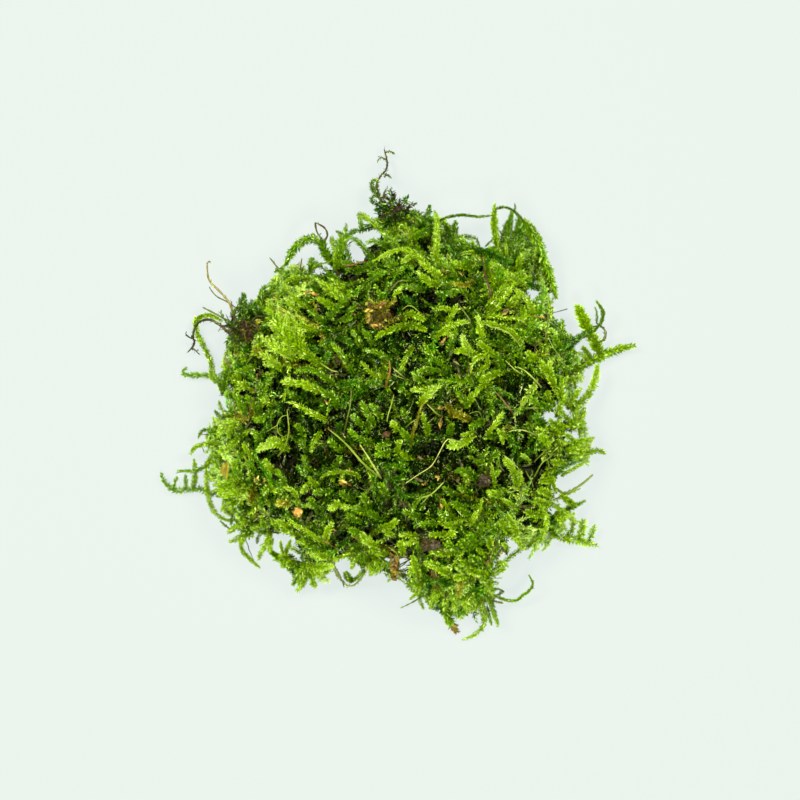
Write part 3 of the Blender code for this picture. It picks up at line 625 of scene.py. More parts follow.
    (D, 4, 80, 1, 16, 257,483, 256,478, 260,476, 264,479, 262,484),
    (L, 8, 50, 1, 4, 234,468, 240,474, 245,482),
    (L, 8, 54, 1, 6, 246,463, 252,469, 256,475),
    (L, 7, 62, 0, 8, 212,461, 218,466, 224,470),
    (L, 6, 62, 0, 8, 210,454, 217,457, 224,458),
    # left of centre, lower
    (L, 7, 80, 0, 16, 288,402, 295,404, 303,408, 311,413, 319,417, 327,420),
    (L, 7, 58, 1, 8, 286,390, 292,395, 299,399),
    (D, 3, 95, 0, 16, 324,401, 328,403, 331,406),
    (B, 3, 60, 1, 16, 351,388, 351,397, 350,406, 348,415, 346,424, 344,432),
    (B, 4, 80, 0, 20, 328,429, 335,434, 342,440, 348,446, 354,453, 360,460, 366,466, 373,472, 380,477),
    (B, 2, 96, 0, 20, 394,394, 392,402, 390,409, 388,415, 387,421),
    (L, 8, 86, 0, 18, 392,422, 394,426, 396,431),
    (L, 7, 74, 0, 14, 311,452, 313,445, 316,438, 321,432),
    (B, 1.5, 70, 0, 14, 315,448, 320,444, 326,444),
    (L, 5, 64, 0, 16, 321,478, 327,474, 335,472, 344,472, 352,473, 358,476, 362,482),
    (L, 6, 62, 0, 12, 343,474, 342,480, 346,485),
    (D, 6, 78, 0, 18, 340,482, 347,485, 354,486),
    (D, 3, 92, 0, 14, 346,466, 349,469, 351,473),
    (L, 6, 74, 0, 16, 284,488, 290,489, 295,494, 297,501, 296,507),
    (L, 8, 70, 0, 12, 302,492, 307,487, 312,483),
    (L, 7, 60, 0, 8, 309,478, 314,483, 319,488),
    (L, 8, 82, 3, 14, 277,504, 283,503, 289,504),
    (L, 10, 84, 0, 14, 329,509, 335,506, 341,502),
    (L, 8, 84, 0, 14, 348,507, 342,505, 336,503),
    (L, 8, 60, 1, 8, 309,498, 314,504, 319,510),
    (B, 2, 60, 1, 14, 360,488, 366,490, 372,486, 374,480),
    (L, 8, 56, 1, 6, 296,424, 301,431, 303,440),
    (L, 8, 58, 1, 6, 304,456, 306,464, 310,472),
    (L, 8, 52, 2, 4, 297,467, 303,472, 306,480),
    (L, 9, 56, 1, 8, 330,392, 335,399, 338,408),
    (L, 9, 62, 1, 10, 322,390, 328,395, 336,397),
    (L, 8, 58, 1, 8, 329,440, 336,447, 343,451),
    (L, 9, 60, 1, 8, 349,430, 356,437, 364,441, 373,443),
    (L, 9, 58, 1, 8, 353,415, 359,422, 367,427),
    (L, 9, 66, 1, 10, 361,402, 365,409, 369,417, 375,423),
    (L, 8, 60, 1, 8, 371,405, 377,411, 381,419),
    (L, 9, 62, 1, 10, 377,448, 383,445, 390,441),
    (L, 9, 66, 1, 10, 376,456, 383,453, 391,451),
    (L, 8, 56, 1, 8, 340,456, 337,463, 332,470),
    (L, 9, 56, 1, 8, 314,493, 322,492, 330,491),
    (L, 9, 52, 1, 6, 340,492, 347,497, 355,501),
    (L, 9, 52, 1, 6, 362,495, 367,502, 370,511),
    (L, 8, 56, 1, 8, 378,484, 384,490, 388,498),
    (L, 9, 60, 1, 8, 352,508, 361,510, 370,514),
    (L, 9, 50, 1, 4, 300,440, 304,447, 309,452),
    # right of centre, lower
    (L, 13, 92, 0, 20, 440,385, 433,390, 427,395, 422,401, 419,406),
    (L, 4, 72, 3, 18, 426,398, 422,406, 419,413, 417,421, 414,429, 412,437, 411,445),
    (B, 2, 60, 0, 14, 418,418, 412,422, 406,427),
    (L, 7, 66, 0, 12, 422,413, 424,420, 427,428, 428,437),
    (B, 2, 95, 0, 18, 427,404, 431,408, 436,413, 441,416),
    (D, 5, 55, 0, 12, 431,405, 437,408, 443,406),
    (D, 5, 60, 1, 12, 442,417, 440,424, 441,431, 441,437),
    (L, 7, 52, 3, 10, 446,404, 451,410, 452,418),
    (L, 11, 64, 3, 10, 453,411, 459,415, 466,418, 472,421),
    (B, 1.5, 60, 0, 14, 469,414, 474,412, 479,412, 482,418),
    (L, 7, 92, 0, 18, 503,413, 499,418, 496,424, 492,429, 487,434),
    (B, 2, 92, 0, 20, 508,432, 515,430, 522,430, 529,432, 536,435),
    (L, 7, 78, 0, 16, 498,430, 503,434, 509,438),
    (L, 5, 70, 0, 14, 503,444, 502,437, 500,431),
    (L, 5, 62, 3, 12, 502,429, 507,426, 513,429),
    (L, 10, 82, 0, 16, 448,446, 455,446, 462,444, 468,440, 474,435),
    (L, 6, 80, 0, 14, 450,441, 457,444, 463,442),
    (L, 5, 78, 0, 14, 461,435, 468,434, 475,431),
    (L, 9, 60, 1, 10, 470,427, 477,424, 484,421),
    (L, 10, 52, 1, 8, 456,471, 464,471, 472,475, 477,482),
    (L, 8, 62, 0, 8, 468,484, 466,477, 464,470),
    (L, 5, 78, 0, 14, 491,463, 492,471, 494,479, 494,487),
    (L, 5, 66, 0, 12, 500,470, 496,475, 494,481),
    (L, 14, 74, 0, 12, 505,459, 510,466, 514,474, 517,483),
    (L, 12, 74, 0, 10, 519,471, 518,480, 516,489),
    (B, 2, 92, 0, 16, 503,455, 509,459, 514,464, 519,469, 522,475),
    (B, 2, 92, 0, 18, 507,492, 512,492, 515,490, 519,486),
    (L, 9, 76, 0, 10, 488,492, 495,494, 503,496),
    (L, 9, 74, 0, 8, 503,500, 510,505, 517,510),
    (L, 5, 76, 0, 12, 482,498, 480,506, 477,514, 473,521),
    (L, 6, 60, 1, 12, 412,513, 415,505, 418,499, 425,496, 433,493),
    (B, 3, 92, 0, 20, 444,482, 439,487, 434,492, 428,496, 421,498, 417,504),
    (B, 2, 90, 0, 18, 429,496, 424,501, 420,506),
    (D, 6, 45, 0, 12, 438,497, 441,503, 441,509),
    (L, 5, 72, 0, 12, 443,499, 445,505, 450,510),
    (L, 9, 52, 1, 6, 444,486, 450,491, 456,497),
    (L, 9, 50, 1, 6, 459,486, 466,491, 473,495),
    (L, 9, 56, 1, 6, 452,503, 460,506, 468,508),
    (L, 9, 58, 1, 6, 401,430, 407,437, 411,445),
    (L, 9, 72, 0, 10, 400,441, 397,448, 399,455),
    (L, 8, 62, 0, 8, 402,452, 407,456, 413,458),
    (L, 8, 48, 1, 4, 402,410, 406,417, 409,424),
    (L, 8, 50, 1, 4, 452,424, 450,431, 447,437),
    (L, 9, 56, 1, 8, 458,393, 464,399, 470,404),
    (L, 8, 66, 0, 10, 473,393, 470,400, 466,407),
    (L, 8, 50, 1, 6, 498,452, 493,457, 487,460),
    (L, 7, 52, 1, 6, 484,437, 491,436, 497,437),
    (D, 5, 35, 2, 8, 419,458, 425,463, 432,466),
    (D, 4, 85, 0, 12, 421,486, 424,484, 428,483),
    (D, 4, 80, 0, 12, 432,474, 436,476, 439,479),
    (D, 6, 40, 1, 6, 414,478, 420,481, 427,480),
    (D, 5, 35, 2, 8, 456,457, 460,461, 461,466),
    (D, 5, 50, 2, 10, 488,417, 489,423, 488,428),
    # right edge
    (L, 9, 80, 0, 10, 581,388, 576,394, 571,401, 568,409),
    (L, 9, 76, 0, 10, 566,392, 563,400, 559,408, 557,416),
    (L, 9, 74, 0, 8, 577,406, 576,414, 573,422),
    (L, 9, 78, 0, 8, 584,408, 582,416, 578,423),
    (L, 9, 66, 0, 8, 547,391, 550,399, 554,406),
    (B, 2, 82, 0, 14, 526,408, 532,408, 538,408, 544,409),
    (L, 9, 62, 1, 8, 540,402, 546,407, 553,411),
    (L, 8, 72, 0, 8, 585,423, 578,424, 571,426),
    (L, 10, 74, 0, 8, 594,438, 586,441, 577,443, 568,445),
    (L, 10, 76, 0, 8, 590,447, 582,449, 573,450, 565,452),
    (L, 9, 72, 0, 8, 588,456, 579,456, 570,457),
    (L, 9, 78, 0, 10, 565,434, 572,441, 578,447),
    (L, 8, 76, 0, 10, 540,436, 545,440, 549,446),
    (L, 8, 70, 0, 8, 549,420, 556,425, 562,431),
    (L, 8, 70, 0, 8, 560,411, 566,416, 571,422),
    (B, 2, 60, 0, 12, 552,446, 546,450, 540,456, 534,462),
    (B, 2, 64, 0, 12, 556,453, 549,458, 542,463, 538,470, 534,477),
    (B, 2, 56, 0, 10, 547,459, 549,466, 548,473),
    (L, 5, 80, 0, 12, 521,454, 526,458, 531,463),
    (B, 2, 80, 0, 12, 526,471, 529,477, 532,482, 533,487),
    (L, 6, 50, 2, 10, 581,461, 573,463, 565,467, 557,473, 551,479),
    (L, 6, 80, 0, 12, 588,461, 579,465, 570,470, 561,476),
    (L, 7, 74, 0, 8, 551,462, 559,463, 567,462),
    (L, 9, 72, 0, 8, 540,481, 548,480, 556,478),
    (L, 9, 76, 0, 8, 538,490, 546,492, 553,497),
    (L, 9, 76, 0, 8, 535,500, 543,503, 551,505),
    (L, 6, 72, 0, 10, 553,477, 553,485, 556,493),
    (B, 3, 30, 3, 16, 521,486, 522,493, 520,500, 520,505, 526,508, 534,506),
    (L, 9, 74, 0, 8, 560,496, 568,501, 574,505),
    (L, 9, 72, 0, 8, 525,511, 534,514, 543,513),
    (L, 12, 70, 1, 4, 530,398, 536,405, 540,413),
    (L, 10, 55, 2, 4, 534,415, 540,420, 545,426),
    # upper right edge
    (L, 9, 84, 0, 8, 524,219, 531,227, 537,236, 541,245),
    (L, 8, 60, 0, 6, 530,233, 533,242, 535,251, 535,260),
    (L, 9, 42, 2, 8, 541,247, 542,256, 541,265),
    (L, 9, 80, 0, 10, 546,262, 547,270, 549,278),
    (L, 8, 70, 0, 10, 523,255, 520,261, 519,268),
    # bottom left
    (L, 9, 72, 0, 8, 228,533, 234,528, 241,524, 248,521),
    (L, 9, 66, 0, 8, 230,541, 237,539, 244,536, 251,533),
    (L, 8, 55, 1, 6, 237,526, 243,529, 250,531),
    (L, 9, 66, 0, 8, 241,545, 242,538, 245,531),
    (L, 11, 74, 0, 10, 259,559, 261,552, 265,545, 268,538, 271,531),
    (L, 6, 74, 0, 10, 270,554, 270,546, 272,539),
    (L, 5, 30, 2, 6, 257,543, 258,537, 260,531),
    (L, 8, 60, 0, 6, 252,528, 258,530, 266,533),
    (L, 6, 70, 0, 10, 272,519, 276,525, 279,531),
    (L, 7, 66, 0, 8, 262,516, 264,523, 266,530),
    (L, 6, 85, 0, 12, 281,541, 282,548, 284,555),
    (L, 7, 76, 0, 10, 291,541, 288,549, 285,557),
    (L, 8, 62, 0, 8, 279,557, 286,557, 293,557),
    (L, 6, 80, 0, 12, 289,520, 296,525, 304,530, 312,535, 320,540, 329,543),
    (L, 8, 82, 0, 12, 276,521, 284,524, 291,528),
    (L, 8, 72, 0, 10, 281,530, 290,533, 299,536),
    (L, 6, 70, 0, 10, 288,546, 294,549, 300,553),
    (D, 4, 45, 2, 12, 297,531, 301,532, 306,534),
    (L, 8, 60, 0, 8, 297,541, 305,543, 313,545),
    (L, 9, 58, 1, 8, 304,549, 313,549, 322,548),
    (L, 9, 84, 0, 14, 332,523, 329,529, 326,536, 324,543),
    (D, 4, 80, 1, 14, 335,528, 334,532, 333,537),
    (D, 3, 88, 0, 14, 322,540, 325,542, 328,543),
    (B, 2, 75, 3, 12, 329,544, 334,547, 339,550, 343,553),
    (L, 10, 82, 0, 8, 307,552, 314,553, 322,556, 330,558),
    (L, 14, 86, 0, 10, 333,566, 325,567, 316,567, 307,566),
    (L, 12, 82, 0, 8, 322,575, 315,572, 308,567),
    (L, 10, 70, 0, 8, 300,588, 301,580, 303,571, 305,563),
    (L, 8, 70, 0, 8, 315,587, 312,580, 310,573),
    (L, 8, 60, 1, 6, 293,585, 296,578, 298,570, 298,562),
    (L, 9, 62, 0, 6, 282,566, 288,564, 295,564),
    (B, 1.5, 80, 0, 10, 361,540, 366,544, 371,548, 376,551),
    (L, 12, 82, 0, 12, 361,533, 365,539, 371,543, 378,546),
    (L, 9, 72, 0, 10, 372,548, 379,552, 386,554),
    (L, 8, 66, 0, 10, 397,520, 391,525, 384,528, 377,531),
    (L, 7, 80, 0, 12, 383,530, 388,533, 393,536),
    (L, 7, 72, 1, 10, 349,530, 354,531, 359,533),
    (L, 7, 62, 0, 10, 344,556, 351,556, 358,558),
    (L, 8, 76, 0, 10, 352,568, 354,561, 357,554),
    (L, 6, 60, 1, 10, 347,572, 350,577, 353,581),
    (L, 6, 62, 0, 10, 354,580, 359,576, 364,570),
    (L, 8, 70, 0, 8, 372,573, 371,566, 370,559),
    (L, 8, 66, 0, 8, 381,570, 378,563, 374,556),
    (L, 7, 60, 1, 8, 363,553, 362,560, 363,567),
    (L, 11, 78, 0, 12, 401,541, 402,548, 403,556),
    (B, 2, 78, 0, 16, 388,547, 393,550, 397,554, 399,561, 400,568),
    (D, 9, 78, 1, 14, 396,558, 396,565, 395,572, 394,579),
    (L, 4, 86, 0, 8, 388,582, 390,577, 392,571),
    (L, 9, 55, 1, 6, 346,515, 353,519, 361,521),
    (L, 9, 52, 1, 6, 368,512, 376,516, 384,520),
    (L, 9, 50, 1, 6, 350,543, 356,547, 362,550),
    (D, 5, 55, 1, 8, 312,512, 309,518, 305,524),
    (D, 4, 45, 1, 8, 300,516, 303,521, 306,527),
    # bottom right
    (L, 8, 72, 0, 8, 400,535, 408,535, 416,536),
    (L, 7, 80, 0, 12, 404,545, 411,542, 418,540),
    (L, 8, 60, 1, 6, 420,525, 428,524, 436,523),
    (L, 8, 74, 0, 10, 430,534, 438,534, 447,533),
    (L, 8, 70, 0, 10, 444,524, 451,525, 458,527),
    (L, 8, 76, 0, 10, 455,531, 449,536, 443,541),
    (L, 9, 66, 1, 10, 446,543, 453,547, 461,549),
    (L, 10, 66, 0, 10, 430,552, 439,552, 448,553, 457,553),
    (L, 8, 78, 0, 10, 412,556, 415,564, 417,572, 418,580),
    (L, 7, 82, 0, 12, 409,577, 411,569, 414,562),
    (L, 6, 74, 0, 8, 412,579, 417,585, 422,590),
    (L, 8, 64, 0, 8, 416,595, 419,587, 424,580),
    (L, 5, 72, 0, 10, 410,599, 414,595, 418,592),
    (L, 5, 74, 0, 8, 424,609, 421,603, 419,597),
    (L, 10, 70, 0, 8, 430,608, 434,599, 439,590),
    (L, 9, 70, 0, 6, 444,610, 445,601, 447,592),
    (L, 9, 72, 0, 6, 456,608, 454,600, 453,591),
    (L, 9, 74, 0, 8, 437,568, 445,572, 452,577),
    (L, 9, 72, 0, 8, 425,563, 433,565, 441,567),
    (L, 8, 72, 3, 10, 459,597, 460,589, 461,581, 460,573),
    (L, 8, 82, 0, 12, 454,578, 461,577, 468,576),
    (D, 4, 85, 1, 14, 463,584, 461,587, 459,591),
    (L, 12, 82, 0, 8, 468,612, 466,604, 464,596),
    (L, 8, 60, 0, 6, 475,608, 472,600, 470,592),
    (L, 5, 66, 0, 8, 498,627, 495,618, 491,609, 487,600, 483,592),
    (L, 6, 60, 1, 8, 492,625, 490,616, 487,607),
    (L, 5, 64, 0, 10, 486,623, 487,614, 484,605, 479,596),
    (L, 7, 64, 0, 8, 482,616, 482,608, 479,600),
    (L, 6, 72, 0, 10, 493,596, 488,589, 484,581),
    (L, 7, 80, 0, 10, 491,579, 489,586, 488,593),
    (L, 8, 72, 0, 10, 466,570, 474,572, 482,574, 489,577),
    (L, 9, 62, 1, 8, 470,556, 477,561, 484,566),
    (L, 10, 66, 0, 8, 461,562, 468,564, 475,567),
    (L, 8, 70, 0, 10, 505,568, 499,571, 493,574, 487,577),
    (L, 6, 82, 0, 12, 508,567, 502,562, 496,565),
    (L, 7, 84, 0, 12, 503,543, 508,547, 505,552),
    (L, 9, 86, 0, 12, 507,515, 511,522, 515,530, 519,538),
    (L, 8, 72, 0, 10, 500,520, 505,527, 510,534),
    (L, 8, 66, 1, 8, 488,520, 492,527, 497,533),
    (L, 7, 80, 0, 12, 476,513, 473,519, 469,524),
    (L, 8, 56, 1, 6, 482,524, 480,531, 478,539),
    (L, 8, 62, 1, 8, 469,534, 473,541, 480,546),
    (L, 9, 58, 1, 6, 460,540, 466,546, 472,552),
    (L, 8, 52, 2, 4, 432,583, 440,581, 447,583),
    (L, 7, 48, 2, 4, 425,576, 428,583, 430,590),
    (L, 8, 70, 0, 10, 489,538, 490,545, 493,551),
    (B, 3, 40, 3, 14, 495,538, 496,545, 492,551, 489,556, 487,561),
    (D, 4, 55, 1, 12, 487,563, 491,559, 497,556, 502,552),
    (D, 6, 35, 2, 12, 503,546, 505,550, 507,555),
    (L, 8, 70, 0, 8, 478,549, 484,552, 489,556),
    (D, 4, 40, 2, 8, 421,553, 422,558, 422,563),
    (D, 3, 45, 2, 8, 445,592, 446,597, 445,602),
    (L, 9, 80, 0, 10, 520,541, 514,537, 508,533),
    (L, 8, 72, 0, 8, 525,549, 520,543, 516,536),
    (L, 9, 60, 1, 6, 404,511, 412,515, 420,517),
    (L, 9, 62, 1, 8, 438,512, 446,515, 454,518),
    (L, 9, 64, 1, 8, 458,509, 465,513, 472,516),
    # at the rim, beside the stems that stand out
    (L, 4, 70, 0, 0, 379,180, 375,180, 373,184, 374,188, 377,192, 378,196),
    (L, 4, 60, 1, 5, 595,307, 597,313, 597,324),
    (L, 6, 80, 0, 5, 579,353, 584,356, 588,361),
    (L, 9, 56, 1, 5, 562,320, 562,332, 560,344),
    (B, 2, 50, 1, 5, 549,309, 553,307),
    (B, 2, 50, 1, 5, 548,312, 556,312, 567,309),
    (L, 4, 55, 1, 0, 176,473, 184,471, 192,472, 199,471, 207,464),
    (B, 2, 80, 3, 5, 200,435, 208,434),
    (B, 2, 50, 1, 5, 202,446, 204,452),
    (L, 4, 55, 1, 0, 220,521, 229,529),
    (L, 4, 55, 1, 0, 232,517, 231,524),
    (B, 2, 45, 1, 0, 254,562, 250,551, 247,544, 243,534),
    (B, 2, 62, 1, 5, 334,565, 338,572, 341,578, 344,587),
    (L, 5, 66, 0, 0, 347,571, 345,575, 349,580, 352,582),
    (B, 2, 50, 1, 5, 400,572, 403,578, 408,575),
    (L, 5, 30, 2, 0, 396,571, 404,571, 411,568),
    (D, 8, 70, 0, 5, 396,558, 395,568, 394,579),
    (L, 4, 60, 0, 0, 492,589, 499,589, 503,591, 498,595),
    (L, 7, 62, 0, 0, 541,536, 529,545, 516,552, 506,561, 498,568, 487,571),
    (L, 4, 50, 1, 0, 571,376, 574,382, 576,390, 577,398),
    # the curtain that hangs inside the arch at the far right
    (F, 14, 50, 1, 0, 508,221, 506,232, 503,244, 502,256, 12),
    (F, 16, 46, 1, 3, 520,217, 517,232, 514,248, 514,264, 14),
    (F, 16, 50, 1, 3, 528,224, 528,240, 526,256, 525,270, 14),
    (F, 14, 46, 1, 0, 535,236, 538,250, 539,264, 537,280, 12),
    (F, 12, 54, 1, 3, 544,256, 546,268, 550,278, 549,292, 9),
    (L, 8, 58, 1, 8, 522,220, 524,234, 521,250, 519,266),
    (L, 8, 60, 0, 8, 531,230, 533,246, 532,264),
    # across the mass below the gaps at the top left
    (F, 12, 46, 1, 2, 338,262, 350,266, 362,264, 10),
    (F, 12, 44, 1, 2, 376,262, 366,268, 352,272, 10),
    (F, 12, 50, 1, 4, 384,258, 392,264, 398,272, 9),
    # the dark green mass behind the long right shoot
    (L, 8, 40, 2, 5, 592,331, 582,336, 570,341, 556,344),
    (F, 10, 42, 2, 0, 572,342, 562,348, 550,354, 8),
    (L, 9, 44, 2, 5, 570,352, 568,362, 572,370),
    (L, 9, 50, 1, 5, 574,368, 562,368, 548,366),
    # dark moss above the root mass
    (L, 12, 34, 2, 5, 240,299, 246,308, 256,318),
    (L, 10, 36, 2, 5, 251,300, 256,309, 264,318),
    (L, 9, 40, 1, 5, 261,302, 266,312, 272,320),
    (L, 9, 58, 3, 8, 388,302, 380,303, 372,307, 368,314, 371,322, 379,327, 387,324),
    (L, 7, 50, 3, 9, 396,299, 387,305, 379,313, 372,321),
    (L, 8, 80, 0, 6, 577,522, 569,516, 561,509, 552,503),
    (L, 7, 76, 0, 6, 566,530, 561,521, 556,512),
    (L, 8, 82, 0, 8, 574,514, 567,515, 557,518),
    (L, 10, 58, 1, 2, 268,550, 277,556, 286,563, 294,573, 301,583),
    (L, 8, 66, 0, 4, 272,553, 281,559, 290,560, 299,562),
)
Laid = namedtuple("Laid", "kind width tone hue lift route branch")


def laid(kind, width, tone, hue, lift, *route):
    """A row of HAND_LAID in full: with a tone from 0 to 1, a height in millimetres and x, y pairs."""
    branch = route[-1] if len(route) % 2 else 0
    return Laid(kind, width, tone / 100, hue, lift / 10, list(zip(route[::2], route[1::2])), branch)


# Places in the mass

# See-through holes, in the photo's pixels: x, y and half the size along each
HOLES = (
    (368, 235, 11, 6), (357, 253, 5, 7), (327, 254, 5, 11), (309, 250, 7, 5), (475, 228, 15, 8),
    (486, 237, 8, 9), (513, 216, 5, 4), (524, 228, 4, 5), (534, 293, 3, 5), (564, 408, 3, 5),
    (551, 416, 5, 4), (575, 437, 4, 4), (597, 449, 5, 4), (576, 470, 8, 5), (566, 477, 8, 4),
    (557, 487, 4, 7), (555, 510, 5, 5), (222, 404, 4, 6), (216, 503, 5, 8), (225, 522, 7, 5),
    (232, 533, 4, 4), (251, 549, 8, 8), (244, 551, 4, 8), (263, 539, 4, 4), (275, 544, 5, 6),
    (284, 539, 6, 4), (295, 557, 4, 5), (342, 566, 6, 6), (354, 575, 4, 5), (403, 565, 3, 5),
    (514, 547, 5, 7), (516, 556, 5, 4), (502, 567, 8, 5), (212, 457, 3, 3), (580, 393, 4, 4),
)
# Dark hollows between the shoots, in the photo's pixels: x, y and half the width
HOLLOWS = (
    (289, 452, 26), (280, 462, 16), (300, 440, 14), (378, 393, 13), (402, 391, 11), (512, 381, 17),
    (500, 372, 9), (442, 320, 9), (461, 312, 8), (466, 323, 6), (427, 302, 12), (412, 272, 7),
    (427, 247, 8), (355, 461, 11), (317, 401, 10), (328, 411, 8), (316, 423, 11), (465, 462, 12),
    (525, 443, 11), (537, 462, 13), (524, 464, 8), (268, 434, 10), (275, 384, 11), (370, 287, 8),
    (357, 303, 8), (362, 341, 8), (318, 348, 7), (306, 361, 7), (372, 361, 8), (437, 484, 6),
    (411, 408, 8), (431, 414, 10), (405, 443, 6), (458, 427, 8), (468, 430, 6), (492, 365, 7),
    (480, 298, 8), (431, 576, 7), (445, 577, 6), (388, 551, 8), (256, 523, 8), (285, 495, 8),
    (320, 465, 10), (325, 486, 7), (475, 583, 10), (470, 527, 7), (516, 527, 9), (413, 528, 9),
    (338, 522, 8), (305, 520, 10), (258, 496, 8), (243, 468, 6), (246, 421, 6), (350, 545, 7),
    (462, 278, 6), (396, 304, 6), (349, 405, 6), (300, 478, 9), (226, 384, 5), (270, 335, 7),
    (264, 312, 6),
)
# Broad light and dark areas, in the photo's pixels: x, y, half the width and how much the tone changes
AREAS = (
    (300, 335, 45, 0.10), (500, 315, 40, 0.12), (560, 400, 50, 0.12), (575, 450, 30, 0.10),
    (320, 567, 30, 0.16), (225, 430, 20, 0.12), (235, 490, 30, 0.12), (350, 545, 45, -0.08),
    (410, 460, 50, -0.10), (320, 440, 45, -0.14), (520, 430, 35, -0.12), (400, 400, 50, -0.06),
    (430, 300, 40, -0.06), (260, 325, 22, -0.10), (450, 570, 50, 0.12), (510, 480, 30, 0.10),
    (390, 535, 30, -0.06), (540, 250, 35, 0.06), (440, 270, 20, 0.12), (400, 500, 50, -0.06),
    (550, 530, 30, 0.14), (400, 215, 40, -0.20), (460, 225, 30, -0.08), (240, 300, 22, -0.16),
)
# How far the fronds of the mass reach from its middle as the photo shows it, in pixels, every 10 degrees
# from +X towards +Y
MASS_CENTRE = (402, 409)
MASS_REACH = (
    186, 192, 192, 174, 198, 210, 218, 186, 198, 200, 190, 188, 190, 186, 182, 188, 186, 184,
    188, 200, 206, 210, 210, 200, 202, 182, 170, 172, 204, 228, 198, 196, 206, 196, 194, 196,
)

